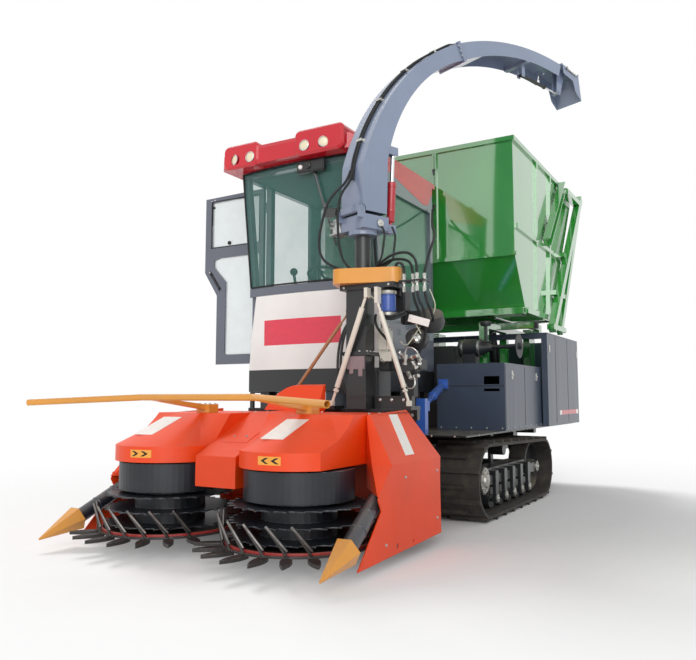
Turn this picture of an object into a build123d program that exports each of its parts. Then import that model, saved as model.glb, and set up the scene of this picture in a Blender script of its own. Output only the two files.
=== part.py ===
from build123d import *
import os
from math import atan2, cos, hypot, pi, radians, sin

# Crawler forage harvester.  Millimetres.  +Z up, the machine drives towards -Y,
# +X is the machine's left.  The origin is on the ground, on the centre plane, near the middle of
# the tracks' ground contact.
os.makedirs("parts", exist_ok=True)

# ---- driving dimensions ---------------------------------------------------------------------
HALF_WIDTH = 1120           # half width over the tracks and the header
SHEET = 6                   # sheet steel wall of covers and boxes
SEAT_FIT = 0.5              # a wheel or roller stands this far off the belt it runs in
PIN_FIT = 1                 # radial play of a pin in its eye

# crawler tracks
TRACK_WIDTH = 450
BELT = 26                   # belt thickness without lugs
LUG_HEIGHT, LUG_LENGTH, LUG_COUNT = 24, 36, 44
SPROCKET_Y, SPROCKET_Z = -800, 330
IDLER_Y, IDLER_Z = 885, 310
SPROCKET_TEETH = 16
ROLLER_RADIUS, ROLLER_COUNT = 92, 5
TRACK_INNER_X = HALF_WIDTH - TRACK_WIDTH
TRACK_X = TRACK_INNER_X + TRACK_WIDTH / 2

# chassis and deck
RAIL_X, RAIL_WIDTH = 330, 100
RAIL_BOTTOM, RAIL_TOP = 400, 580
DECK_TOP, DECK_SHEET = 714, 14
DECK_UNDER = DECK_TOP - DECK_SHEET
DECK_HALF_WIDTH = 1050
DECK_FRONT, DECK_REAR = -1180, 2480

# cutter header, hinged to the crop housing at its top
HEADER_PIVOT_Y, HEADER_PIVOT_Z = -1740, 860
HEADER_PIVOT_X = 560
HEADER_TOP, HEADER_REAR = 930, -1800
ROTOR_X, ROTOR_Y = 545, -2780
DRUM_RADIUS, DRUM_BOTTOM, DRUM_TOP = 350, 395, 582
DISC_RADIUS, DISC_SHEET, DISC_TEETH, TOOTH_DEPTH = 445, 8, 28, 36
DISC_LEVELS = (372, 275, 180)
ROTOR_CORE_RADIUS, ROTOR_SHAFT_RADIUS = 240, 60
FLOOR_TOP, FLOOR_SHEET, FLOOR_RADIUS = 135, 14, 475
COVER_RADIUS, COVER_BAND_BOTTOM, COVER_BAND_TOP, COVER_TOP = 378, 592, 697, 908
PANEL_INNER_X = 850
LIFT_X, LIFT_BASE, LIFT_EYE = 530, (-1140, 470), (-1765, 325)

# mast, turret and discharge spout
MAST_X, MAST_Y = 408, -1700
STUB_RADIUS, MAST_TOP = 64, 2285
COLUMN_SHIFT = -25          # the square column stands this far off the round stub
COLUMN_WIDTH, COLUMN_DEPTH = 170, 150
GUARD_BOTTOM, GUARD_HEIGHT, GUARD_TURN = 1893, 117, 18
SPOUT_DEG = 22              # spout plane swung from straight back towards the machine's left
SPOUT_WIDTH, SPOUT_WALL = 280, 5
TURRET_HINGE = (-120, 2470)
SPOUT_CYL_X, SPOUT_BASE, SPOUT_EYE = 100, (200, 2345), (232, 3000)
FLAP_HINGE = (2500, 4400)
FLAP_CYL_X, FLAP_BASE, FLAP_EYE = 50, (1960, 4165), (2520, 4130)
FLAP_BACK = 150             # travel that the flap's cylinder keeps for closing the flap

# cab
CAB_RIGHT, CAB_LEFT = -1080, 300
CAB_FRONT, CAB_REAR, CAB_BOW = -1285, -60, 60
CAB_FLOOR, CAB_PANEL_BOTTOM = 1070, 1270
CAB_SILL, SILL_DEPTH = 2040, 80
CAB_HEAD, LEFT_HEAD = 3120, 2930
CAB_LEAN = 140              # how far the windscreen's head stands ahead of its foot
CAB_POST, CAB_WALL, GLASS = 60, 40, 8
ROOF_TOP = 3290
DOOR_X, DOOR_Y = CAB_RIGHT - 20, -950
DOOR_WIDTH, DOOR_THICKNESS = 768, 36
DOOR_BOTTOM, DOOR_TOP = 1350, 3095
DOOR_HINGES = (1500, 2900)

# side boxes, rear housing, bin
BOX_TOP, BOX_FRONT = 1338, -180
HOUSING_X = 1128
HOUSING_FRONT, HOUSING_REAR, HOUSING_TOP = 1056, 2494, 1709
BIN_HALF_WIDTH, BIN_WALL, BIN_TUBE = 1080, 30, 44
BIN_FRONT_TOP, BIN_FRONT_BOTTOM = 120, 430
BIN_REAR_TOP, BIN_REAR_BOTTOM = 2640, 1500
BIN_FLOOR, BIN_KNEE, BIN_TOP = 1915, 2400, 3580
BIN_PIVOT_X, BIN_PIVOT_Y, BIN_PIVOT_Z = 600, 2300, 1800
TIP_X, TIP_BASE, TIP_EYE = 480, (1500, 800), (1150, 1795)


# ---- shapes ---------------------------------------------------------------------------------
def block(x, y, z):
    """A box from its low and high limits on each axis."""
    middle = Pos((x[0] + x[1]) / 2, (y[0] + y[1]) / 2, (z[0] + z[1]) / 2)
    return middle * Box(abs(x[1] - x[0]), abs(y[1] - y[0]), abs(z[1] - z[0]))


def rod(start, end, radius, sides=0):
    """A round bar between two points, or one drawn with so many flat sides."""
    start, end = Vector(*start), Vector(*end)
    axis = end - start
    place = Plane(origin=start, z_dir=axis)
    if sides:
        return extrude(place * RegularPolygon(radius, sides), axis.length, dir=axis)
    return Solid.make_cylinder(radius, axis.length, place)


def across(y, z, x, radius, sides=0):
    """A pin or ring along X between two X values."""
    return rod((x[0], y, z), (x[1], y, z), radius, sides)


def side_prism(points, x):
    """A (Y, Z) outline drawn out between two X values."""
    face = make_face(Polyline(*[(x[0], py, pz) for py, pz in points], close=True))
    return extrude(face, x[1] - x[0], dir=(1, 0, 0))


def plan_prism(points, z):
    """An (X, Y) outline drawn out between two Z values."""
    face = make_face(Polyline(*[(px, py, z[0]) for px, py in points], close=True))
    return extrude(face, z[1] - z[0], dir=(0, 0, 1))


def front_prism(points, y):
    """An (X, Z) outline drawn out between two Y values."""
    face = make_face(Polyline(*[(px, y[0], pz) for px, pz in points], close=True))
    return extrude(face, y[1] - y[0], dir=(0, 1, 0))


def beam(start, end, width, depth):
    """A square-cut bar of width (X) and depth between two points of one side plane."""
    (x, y0, z0), (_, y1, z1) = start, end
    run = hypot(y1 - y0, z1 - z0)
    ny, nz = -(z1 - z0) / run * depth / 2, (y1 - y0) / run * depth / 2
    outline = [(y0 + ny, z0 + nz), (y1 + ny, z1 + nz), (y1 - ny, z1 - nz), (y0 - ny, z0 - nz)]
    return side_prism(outline, (x - width / 2, x + width / 2))


def fused(shapes):
    shapes = list(shapes)
    total = shapes[0]
    for shape in shapes[1:]:
        total = total + shape
    return total


def other_side(shape):
    return shape.mirror(Plane.YZ)


def two_lugs(x, spread, sheet, y, z):
    """A clevis: two plates either side of x, their middles spread apart."""
    return fused(block((x + d * spread / 2 - sheet / 2, x + d * spread / 2 + sheet / 2), y, z) for d in (-1, 1))


def save(name, *solids):
    """One node: its solids don't touch each other."""
    shape = solids[0] if len(solids) == 1 else Compound(children=list(solids))
    shape.label = name
    export_step(shape, f"parts/{name}.step")


def both_sides(name, shape):
    """A piece and its mirror image, as two nodes."""
    save(f"{name}_left", shape)
    save(f"{name}_right", other_side(shape))


def pair(name, shape):
    """A piece and its mirror image on one body, as one node of two solids."""
    save(name, shape, other_side(shape))


def cylinder(x, base, eye, barrel_radius, rod_radius, eye_radius, eye_width, pin_radius, neck, back=0):
    """A hydraulic cylinder in one side plane: barrel with its eye, and rod with its eye.

    neck is where the barrel starts, measured from the base pin, and back is how far the rod
    can still go in from this position.
    """
    (y0, z0), (y1, z1) = base, eye
    length = hypot(y1 - y0, z1 - z0)
    uy, uz = (y1 - y0) / length, (z1 - z0) / length
    span = (x - eye_width / 2, x + eye_width / 2)
    bore = (x - eye_width, x + eye_width)

    def at(s):
        return (x, y0 + uy * s, z0 + uz * s)

    head = length - eye_radius - 25 - back
    gland = min(40, barrel_radius)
    barrel = rod(at(neck), at(head), barrel_radius, 28) + across(y0, z0, span, eye_radius, 20)
    barrel += rod(at(head - gland), at(head), barrel_radius + 4, 28)
    barrel += rod(at(eye_radius * 0.6), at(neck + 5), eye_width / 2 - 2, 16)
    barrel -= across(y0, z0, bore, pin_radius + PIN_FIT)
    barrel -= rod(at(neck + 20), at(head + 1), rod_radius + PIN_FIT, 20)
    stem = rod(at(neck + 30 + back), at(length - eye_radius * 0.6), rod_radius) + across(y1, z1, span, eye_radius, 20)
    stem -= across(y1, z1, bore, pin_radius + PIN_FIT)
    return barrel, stem


# ---- crawler tracks -------------------------------------------------------------------------
def loop_face(grow):
    """The belt's path round sprocket and idler, as a face in the side plane."""
    r0 = SPROCKET_Z - LUG_HEIGHT - BELT + grow
    r1 = IDLER_Z - LUG_HEIGHT - BELT + grow
    dy, dz = IDLER_Y - SPROCKET_Y, IDLER_Z - SPROCKET_Z
    along = atan2(dz, dy)
    spread = (r0 - r1) / hypot(dy, dz)
    up, down = along + pi / 2 - spread, along - pi / 2 + spread

    def at(y, z, r, angle):
        return (0, y + r * cos(angle), z + r * sin(angle))

    a, b = at(SPROCKET_Y, SPROCKET_Z, r0, up), at(IDLER_Y, IDLER_Z, r1, up)
    c, d = at(IDLER_Y, IDLER_Z, r1, down), at(SPROCKET_Y, SPROCKET_Z, r0, down)
    return make_face([
        Line(a, b),
        ThreePointArc(b, at(IDLER_Y, IDLER_Z, r1, along), c),
        Line(c, d),
        ThreePointArc(d, at(SPROCKET_Y, SPROCKET_Z, r0, along + pi), a),
    ])


def make_track():
    """A rubber belt with lugs that reach in from its two edges in turn."""
    lug_spans = ((0, 0.72), (0.28, 1))          # shares of the belt's width, from its inner edge
    outer, inner = loop_face(BELT), loop_face(0)
    path = outer.face().outer_wire()
    middle = Vector(0, (SPROCKET_Y + IDLER_Y) / 2, (SPROCKET_Z + IDLER_Z) / 2)
    lugs = []
    for n in range(LUG_COUNT):
        p, d = path.position_at(n / LUG_COUNT), path.tangent_at(n / LUG_COUNT)
        out = Vector(0, -d.Z, d.Y)
        if (p + out - middle).length < (p - out - middle).length:
            out = out * -1
        foot, top = d * (LUG_LENGTH / 2), d * (LUG_LENGTH * 0.35)
        profile = [p - foot - out * 4, p + foot - out * 4, p + top + out * LUG_HEIGHT, p - top + out * LUG_HEIGHT]
        low, high = lug_spans[n % 2]
        lug = extrude(make_face(Polyline(*profile, close=True)), TRACK_WIDTH * (high - low), dir=(1, 0, 0))
        lugs.append(Pos(TRACK_WIDTH * low, 0, 0) * lug)
    belt = extrude(outer, TRACK_WIDTH, dir=(1, 0, 0)) + lugs - extrude(inner, TRACK_WIDTH, dir=(1, 0, 0))
    return Pos(TRACK_INNER_X, 0, 0) * belt


def wheel(y, z, radius, rim_width, web_width, hub_radius, hub_width):
    """A track wheel: rim, thinner web and hub, on an X axis."""
    def disc(r, w, sides):
        return across(y, z, (TRACK_X - w / 2, TRACK_X + w / 2), r, sides)
    rim = disc(radius, rim_width, 48) - disc(radius - 34, rim_width, 32)
    return rim + disc(radius - 20, web_width, 32) + disc(hub_radius, hub_width, 24)


def make_sprocket():
    """The front wheel: it drives the belt with teeth that stand out of its rim."""
    radius = SPROCKET_Z - LUG_HEIGHT - BELT - SEAT_FIT
    tooth = block((TRACK_X - 30, TRACK_X + 30), (SPROCKET_Y - 17, SPROCKET_Y + 17), (SPROCKET_Z + radius - 40, SPROCKET_Z + radius - 1))
    axis = Axis((TRACK_X, SPROCKET_Y, SPROCKET_Z), (1, 0, 0))
    teeth = [tooth.rotate(axis, n * 360 / SPROCKET_TEETH) for n in range(SPROCKET_TEETH)]
    return wheel(SPROCKET_Y, SPROCKET_Z, radius - 24, 60, 40, 115, 330) + teeth


def make_track_frame():
    """The beam between the wheels, with bottom rollers, top roller, idler fork and drive bracket."""
    bottom, top = 250, 400
    roller_z = LUG_HEIGHT + BELT + SEAT_FIT + ROLLER_RADIUS
    first, last = -430, 560
    idler_half, fork_sheet, arm = 105.5, 26, 45
    drive_clear = 116
    frame = block((TRACK_X - 85, TRACK_X + 85), (-500, 610), (bottom, top))
    for n in range(ROLLER_COUNT):
        y = first + n * (last - first) / (ROLLER_COUNT - 1)
        frame += across(y, roller_z, (TRACK_X - 95, TRACK_X + 95), ROLLER_RADIUS, 24)
        frame += across(y, roller_z, (TRACK_X - 150, TRACK_X + 150), 32, 10)
        for s in (-1, 1):
            hanger = (y - 38, y + 38)
            frame += block((TRACK_X + s * 120, TRACK_X + s * 150), hanger, (roller_z - 40, top - 20))
            frame += block((TRACK_X + s * 80, TRACK_X + s * 150), hanger, (top - 60, top - 20))
    for s in (-1, 1):
        inside = TRACK_X + s * idler_half
        frame += block((inside, inside + s * fork_sheet), (560, IDLER_Y + 60), (IDLER_Z - arm, IDLER_Z + arm))
    outside = idler_half + fork_sheet
    frame += block((TRACK_X - outside, TRACK_X + outside), (560, 610), (IDLER_Z - arm, IDLER_Z + arm))
    frame += block((TRACK_INNER_X + 5, TRACK_INNER_X + 55), (-900, -460), (bottom, top + 20))
    frame += block((TRACK_INNER_X + 5, TRACK_X - 60), (-500, -460), (bottom, top))
    frame -= across(SPROCKET_Y, SPROCKET_Z, (TRACK_X - 166, TRACK_X + 166), drive_clear, 24)
    top_y, top_radius = 60, 55
    top_z = (SPROCKET_Z * 2 + IDLER_Z * 2) / 2 - LUG_HEIGHT - BELT - top_radius - 2
    frame += across(top_y, top_z, (TRACK_X - 60, TRACK_X + 60), top_radius, 20)
    frame += block((TRACK_X - 90, TRACK_X - 60), (top_y - 35, top_y + 35), (top, top_z + 30))
    return frame


both_sides("track", make_track())
pair("drive_sprockets", make_sprocket())
pair("idler_wheels", wheel(IDLER_Y, IDLER_Z, IDLER_Z - LUG_HEIGHT - BELT - SEAT_FIT, 170, 30, 70, 210))
pair("track_frames", make_track_frame())

# ---- chassis, deck and hitch ----------------------------------------------------------------
cross_members = (-1100, -250, 700, 1500, 2340)  # Y of each
axle_beams = (-306, 436)                        # Y of each, between the track frames
frame = fused(
    block((s * RAIL_X - RAIL_WIDTH / 2, s * RAIL_X + RAIL_WIDTH / 2), (DECK_FRONT, 2400), (RAIL_BOTTOM, RAIL_TOP))
    for s in (-1, 1)
)
for y in cross_members:
    frame += block((-620, 620), (y - 50, y + 50), (RAIL_TOP, DECK_UNDER))
for y in axle_beams:
    frame += block((-TRACK_X + 85, TRACK_X - 85), (y - 60, y + 60), (290, RAIL_BOTTOM))
for s in (-1, 1):
    y, z = LIFT_BASE
    frame += two_lugs(s * LIFT_X, 66, 16, (y - 40, y + 45), (z - 40, DECK_UNDER))
    frame += across(y, z, (s * LIFT_X - 41, s * LIFT_X + 41), 15)
save("chassis_frame", frame)
save("deck", block((-DECK_HALF_WIDTH, DECK_HALF_WIDTH), (DECK_FRONT, DECK_REAR), (DECK_UNDER, DECK_TOP)))

HITCH_PIN_Y, HITCH_PIN_RADIUS = 2520, 16
hitch = block((-60, 60), (2400, HITCH_PIN_Y + 40), (470, 560)) - block((-61, 61), (2480, HITCH_PIN_Y + 41), (500, 530))
hitch -= rod((0, HITCH_PIN_Y, 460), (0, HITCH_PIN_Y, 570), HITCH_PIN_RADIUS)
save("tow_hitch", hitch + block((-280, 280), (2400, 2420), (430, 570)))

# ---- crop housing: feed rolls and chopper behind the header ---------------------------------
THROAT = 300                # half width of the feed throat
HOUSING_FACE = -1690
PIVOT_LUG, PIVOT_RADIUS = 28, 15
stay_feet = (841, 179, -250)                    # X of each
FOOT_Y = -1790
housing = side_prism(
    [(HOUSING_FACE, 300), (HOUSING_FACE, 900), (-1640, HEADER_TOP), (-1220, HEADER_TOP), (-1180, 640), (-1180, 420), (-1300, 300)],
    (-450, 450),
)
housing += block((-720, 860), (HOUSING_FACE, -1640), (850, HEADER_TOP))
housing += block((300, 620), (HOUSING_FACE, -1460), (780, HEADER_TOP))
housing += block((215, 485), (MAST_Y + COLUMN_DEPTH / 2, -1380), (HEADER_TOP - 20, 1225))        # drive box behind the mast's foot
housing += block((480, 800), (-1650, -1600), (HEADER_TOP - 20, 1030))
housing -= block((-THROAT, THROAT), (HOUSING_FACE - 1, -1500), (380, 740))
for s in (-1, 1):
    lug = (s * HEADER_PIVOT_X - 15, s * HEADER_PIVOT_X + 15)
    housing += block(lug, (HEADER_PIVOT_Y, -1640), (HEADER_PIVOT_Z - PIVOT_LUG, HEADER_PIVOT_Z + PIVOT_LUG))
    housing += across(HEADER_PIVOT_Y, HEADER_PIVOT_Z, lug, PIVOT_LUG)
    housing -= across(HEADER_PIVOT_Y, HEADER_PIVOT_Z, (lug[0] - 1, lug[1] + 1), PIVOT_RADIUS + 0.8)
for x in stay_feet:
    housing += block((x - 30, x + 30), (FOOT_Y - 25, -1655), (HEADER_TOP - 4, HEADER_TOP + 25))
save("crop_housing", housing)

# ---- header ---------------------------------------------------------------------------------
beam_front = HEADER_REAR - 90
posts = (-800, -360, 360, 800)                  # X of each
header = block((-PANEL_INNER_X, PANEL_INNER_X), (beam_front, HEADER_REAR), (HEADER_TOP - 120, HEADER_TOP - 25))
header += block((-PANEL_INNER_X, PANEL_INNER_X), (beam_front, HEADER_REAR), (FLOOR_TOP - FLOOR_SHEET, 220))
for x in posts:
    header += block((x - 40, x + 40), (beam_front + 10, HEADER_REAR - 10), (150, HEADER_TOP - 60))
for s in (-1, 1):
    back_plate = (s * (THROAT + 10), s * PANEL_INNER_X)
    header += block(back_plate, (HEADER_REAR - 60, HEADER_REAR - 60 + SHEET), (150, HEADER_TOP - 60))
    x = s * HEADER_PIVOT_X
    header += two_lugs(x, 70, 20, (HEADER_REAR - 20, HEADER_PIVOT_Y), (HEADER_PIVOT_Z - 32, HEADER_PIVOT_Z + 32))
    for d in (-1, 1):
        header += across(HEADER_PIVOT_Y, HEADER_PIVOT_Z, (x + d * 35 - 10, x + d * 35 + 10), 32)
    header += across(HEADER_PIVOT_Y, HEADER_PIVOT_Z, (x - 60, x + 60), PIVOT_RADIUS)
    x = s * LIFT_X
    header += two_lugs(x, 66, 16, (HEADER_REAR - 20, LIFT_EYE[0] + 35), (LIFT_EYE[1] - 45, LIFT_EYE[1] + 45))
    header += block((x - 41, x + 41), (HEADER_REAR - 60, HEADER_REAR - 10), (150, 400))
    header += across(*LIFT_EYE, (x - 41, x + 41), 12)
save("header_frame", header)

# floor under the rotors, with leaf-shaped fingers and slanted guard rods along its front
FINGER_COUNT, FINGER_STEP, FIRST_FINGER = 10, 17, -166
FINGER_ROOT = 455
finger_edge = ((0, 22), (35, 31), (75, 34), (120, 29), (165, 16), (200, 3))     # length from the root, half width
FINGER_Z = FLOOR_TOP - 32
floor = block((-PANEL_INNER_X - 100, PANEL_INNER_X + 100), (ROTOR_Y, beam_front), (FLOOR_TOP - FLOOR_SHEET, FLOOR_TOP))
for s in (-1, 1):
    centre = (s * ROTOR_X, ROTOR_Y)
    floor += rod((*centre, FLOOR_TOP - FLOOR_SHEET), (*centre, FLOOR_TOP), FLOOR_RADIUS, 60)
    floor += rod((*centre, FLOOR_TOP), (*centre, FLOOR_TOP + 25), 120, 28)
    for n in range(FINGER_COUNT):
        turn = FIRST_FINGER + n * FINGER_STEP
        a, b = radians(turn), radians(turn - 14)
        if s * cos(a) > 0.85 or s * cos(a) < -0.9:           # kept off the side panels and each other
            continue
        c = Vector(*centre, FINGER_Z)
        t, w = Vector(cos(a), sin(a), 0), Vector(-sin(a), cos(a), 0)
        edge = [c + t * (FINGER_ROOT + out) + w * half for out, half in finger_edge]
        edge += [c + t * (FINGER_ROOT + out) - w * half for out, half in reversed(finger_edge)]
        leaf = make_face(Polyline(*edge, close=True))
        floor += extrude(leaf, 22, dir=(0, 0, 1))
        foot = c + t * (FLOOR_RADIUS - 1) + Vector(0, 0, 24)
        head = Vector(centre[0] + 505 * cos(b), centre[1] + 505 * sin(b), 300)
        floor += rod(foot, head, 8, 8)
save("header_floor", floor)

ring = rod((ROTOR_X, ROTOR_Y, FLOOR_TOP), (ROTOR_X, ROTOR_Y, FLOOR_TOP + 14), FLOOR_RADIUS - 12, 60)
ring -= rod((ROTOR_X, ROTOR_Y, FLOOR_TOP - 1), (ROTOR_X, ROTOR_Y, FLOOR_TOP + 15), FLOOR_RADIUS - 30, 60)
ring -= block((ROTOR_X - 500, ROTOR_X + 500), (ROTOR_Y + 150, ROTOR_Y + 500), (FLOOR_TOP - 1, FLOOR_TOP + 15))
pair("floor_rings", ring)


def cover_body(inset, floor):
    """A crop cover drawn in by inset: an upright band round the drum under a lofted roof."""
    radius, rear, top = COVER_RADIUS - inset, beam_front - inset, COVER_TOP - inset
    turn = radians(18)                          # where the roof's side facets meet the band
    crest_y, crest_half = ROTOR_Y + 160 + inset, 135

    def outline(z):
        def at(angle):
            return (ROTOR_X + radius * cos(angle), ROTOR_Y + radius * sin(angle), z)
        right, left = at(0), at(pi)
        return [
            ThreePointArc(right, at(-turn / 2), at(-turn)),
            ThreePointArc(at(-turn), at(-pi / 2), at(turn - pi)),
            ThreePointArc(at(turn - pi), at(turn / 2 - pi), left),
            *walls(left, right, z),
        ]

    def walls(left, right, z):
        rear_left, rear_right = (left[0], rear, z), (right[0], rear, z)
        return [Line(left, rear_left), Line(rear_left, rear_right), Line(rear_right, right)]
    left, right = (ROTOR_X - radius, crest_y + 20, top), (ROTOR_X + radius, crest_y + 20, top)
    crest = [(ROTOR_X + crest_half, crest_y, top), (ROTOR_X - crest_half, crest_y, top)]
    roof_edge = [Line(right, crest[0]), Line(*crest), Line(crest[1], left), *walls(left, right, top)]
    knee = COVER_BAND_TOP - inset
    body = loft([make_face(outline(knee)), make_face(roof_edge)], ruled=True)
    body += extrude(make_face(outline(floor)), knee - floor, dir=(0, 0, 1))
    return body & block((ROTOR_X - 500, PANEL_INNER_X - 5 - inset), (ROTOR_Y - 500, rear + 10), (floor - 1, HEADER_TOP))


pair("drum_covers", cover_body(0, COVER_BAND_BOTTOM) - cover_body(SHEET, COVER_BAND_BOTTOM - 1))

# centre nose between the drums
nose_half = ROTOR_X - COVER_RADIUS
nose_line = [(-2950, 640), (-2600, 800), (-2380, 905), (-1960, 920)]
nose_outer = [(-2950, 440), *nose_line, (beam_front, 920), (beam_front, 440)]
nose_inner = [(-2950 + SHEET, 430), *[(y + SHEET, z - SHEET - 3) for y, z in nose_line], (beam_front - SHEET, 911), (beam_front - SHEET, 430)]
nose = side_prism(nose_outer, (-nose_half, nose_half)) - side_prism(nose_inner, (-nose_half + SHEET, nose_half - SHEET))
for s in (-1, 1):
    nose -= rod((s * ROTOR_X, ROTOR_Y, 400), (s * ROTOR_X, ROTOR_Y, COVER_BAND_BOTTOM), COVER_RADIUS + 5)
save("centre_nose", nose)

# faceted side panels: a hollow ridge box and the tall outer plate under it
PANEL_REAR, PANEL_FOOT, PANEL_SHEET = -1877, 440, 8


def panel_body(inset):
    """The ridge box, drawn in by inset on every side."""
    sides = [(PANEL_REAR - 13 + 0 * inset, PANEL_FOOT), (PANEL_REAR + 17 - inset, HEADER_TOP - inset), (-2450 + inset, 905 - inset),
             (-2640 + inset, 600 - inset), (-2810 + inset * 2, PANEL_FOOT)]
    low_x, high_x = PANEL_INNER_X + inset, HALF_WIDTH - inset
    section = [(low_x, 0), (high_x, 0), (high_x, 610 - inset), (low_x, HEADER_TOP - inset)]
    plan = [(low_x, -1500), (low_x, -2460 + inset), (high_x, -2820 + inset * 2), (high_x, -1500)]
    return side_prism(sides, (low_x, high_x)) & front_prism(section, (-3500, -1500)) & plan_prism(plan, (0, 1200))


panel = panel_body(0) - Pos(0, 0, -1) * panel_body(PANEL_SHEET)
outer_plate = side_prism(
    [(PANEL_REAR, 90), (PANEL_REAR - 13, PANEL_FOOT + 60), (-2790, 470), (-2810, 420), (-2770, 350), (-3060, 60)],
    (HALF_WIDTH - PANEL_SHEET, HALF_WIDTH),
)
plate_holes = ((-2560, 118, 15), (-2330, 112, 10))          # Y, Z, radius
for y, z, radius in plate_holes:
    outer_plate -= across(y, z, (HALF_WIDTH - 10, HALF_WIDTH + 1), radius)
pair("side_panels", panel + outer_plate)

# crop dividers: a tube down the front edge of each side panel and a faceted point
tube_head, tube_foot, point = (1034, -2664, 411), (1085, -3122, 184), (1098, -3415, 84)
TUBE_RADIUS = 50
axis = Vector(*point) - Vector(*tube_foot)
cone = loft([
    Plane(origin=Vector(*tube_foot), z_dir=axis, x_dir=(1, 0, 0)) * RegularPolygon(86, 6),
    Plane(origin=Vector(*point), z_dir=axis, x_dir=(1, 0, 0)) * RegularPolygon(6, 6),
])
pair("divider_tubes", rod(tube_head, tube_foot, TUBE_RADIUS, 24) - block((900, 1200), (-2900, -2600), (PANEL_FOOT, PANEL_FOOT + 80)))
pair("divider_tips", cone - rod(tube_head, tube_foot, TUBE_RADIUS + 0.2, 24))

# push bar: one bent tube, open at its ends, on two arms
BAR_RADIUS, BAR_WALL = 21, 4
bar_points = [(-1180, -3480, 985), (-460, -3150, 1020), (460, -3150, 1020), (1180, -3480, 985)]
bar = fused(rod(p, q, BAR_RADIUS) for p, q in zip(bar_points, bar_points[1:]))
for p in bar_points[1:3]:
    bar += Pos(*p) * Sphere(BAR_RADIUS)
for end, inner in ((bar_points[0], bar_points[1]), (bar_points[3], bar_points[2])):
    along = (Vector(*inner) - Vector(*end)).normalized()
    bar -= rod(Vector(*end) - along, Vector(*end) + along * 120, BAR_RADIUS - BAR_WALL)
for s in (-1, 1):
    x = s * 440
    bar += side_prism([(-3150, 1010), (-3150, 1030), (-2500, 960), (-2500, 920)], (x - 25, x + 25))
    bar += block((x - 60, x + 60), (-2580, -2480), (COVER_TOP, HEADER_TOP + 40))
save("push_bar", bar)


def make_rotor():
    """Drum, core and three cutting discs whose teeth hook forward."""
    step = 2 * pi / DISC_TEETH
    tooth = ((TOOTH_DEPTH, 0.0), (TOOTH_DEPTH, 0.3), (TOOTH_DEPTH * 0.7, 0.6), (0, 0.92))   # depth, share of the pitch
    body = rod((ROTOR_X, ROTOR_Y, DRUM_BOTTOM), (ROTOR_X, ROTOR_Y, DRUM_TOP), DRUM_RADIUS, 56)
    body += rod((ROTOR_X, ROTOR_Y, DISC_LEVELS[-1] - 12), (ROTOR_X, ROTOR_Y, DRUM_BOTTOM), ROTOR_CORE_RADIUS, 36)
    body += rod((ROTOR_X, ROTOR_Y, FLOOR_TOP + 25.5), (ROTOR_X, ROTOR_Y, DRUM_BOTTOM), ROTOR_SHAFT_RADIUS)
    for level, z in enumerate(DISC_LEVELS):
        points = []
        for n in range(DISC_TEETH):
            for depth, share in tooth:
                a, r = (n + share + level / 3) * step, DISC_RADIUS - depth
                points.append((ROTOR_X + r * cos(a), ROTOR_Y + r * sin(a)))
        body += plan_prism(points, (z - DISC_SHEET, z))
    return body


both_sides("rotor", make_rotor())

# hood over the middle of the header's rear, its crest round towards the machine's right
HOOD_TOP = 1120
crest = make_face([
    Line((150, -1960, HEADER_TOP - 20), (150, -1960, HOOD_TOP)),
    Line((150, -1960, HOOD_TOP), (-60, -1960, HOOD_TOP)),
    ThreePointArc((-60, -1960, HOOD_TOP), (-235, -1960, 1070), (-360, -1960, HEADER_TOP - 20)),
    Line((-360, -1960, HEADER_TOP - 20), (150, -1960, HEADER_TOP - 20)),
])
hood = extrude(crest, 160, dir=(0, 1, 0))
hood &= side_prism([(-1840, HEADER_TOP - 10), (-1840, HOOD_TOP), (-1870, HOOD_TOP - 10), (-1950, HEADER_TOP - 10)], (-400, 200))
hood -= block((-400, 400), (beam_front, HEADER_REAR), (900, HEADER_TOP - 25))
save("header_hood", hood)

lift = cylinder(LIFT_X, LIFT_BASE, LIFT_EYE, 45, 22, 36, 44, 15, 65)
save("header_lift_barrels", lift[0], other_side(lift[0]))
save("header_lift_rods", lift[1], other_side(lift[1]))

# ---- mast -----------------------------------------------------------------------------------
column_x = MAST_X + COLUMN_SHIFT
FLANGE_Z, FLANGE_SHEET = 1340, 30


def column(z):
    return block((column_x - COLUMN_WIDTH / 2, column_x + COLUMN_WIDTH / 2), (MAST_Y - COLUMN_DEPTH / 2, MAST_Y + COLUMN_DEPTH / 2), z)


mast = column((HEADER_TOP, GUARD_BOTTOM)) + rod((MAST_X, MAST_Y, GUARD_BOTTOM), (MAST_X, MAST_Y, MAST_TOP), STUB_RADIUS)
mast += block((column_x - 112, column_x + 112), (MAST_Y - 86, MAST_Y + 100), (FLANGE_Z, FLANGE_Z + FLANGE_SHEET))
mast += block((250, 720), (MAST_Y - 95, MAST_Y + 95), (GUARD_BOTTOM - 42, GUARD_BOTTOM))
save("mast", mast)

guard = Rectangle(540, 280)
guard = extrude(fillet(guard.vertices(), 70), GUARD_HEIGHT)
guard_inside = extrude(fillet(Rectangle(540 - 2 * SHEET, 280 - 2 * SHEET).vertices(), 70 - SHEET), GUARD_HEIGHT)
guard_place = Pos(458, MAST_Y, GUARD_BOTTOM) * Rot(0, 0, GUARD_TURN)
guard = guard_place * (guard - Pos(0, 0, SHEET) * guard_inside)
save("ring_guard", guard - rod((MAST_X, MAST_Y, GUARD_BOTTOM - 1), (MAST_X, MAST_Y, GUARD_BOTTOM + 20), STUB_RADIUS + 0.5))
save("valve_block", block((610, 715), (-1600, -1480), (1690, GUARD_BOTTOM - 42)) + block((625, 700), (MAST_Y + 60, -1590), (1800, GUARD_BOTTOM - 42)))

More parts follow.
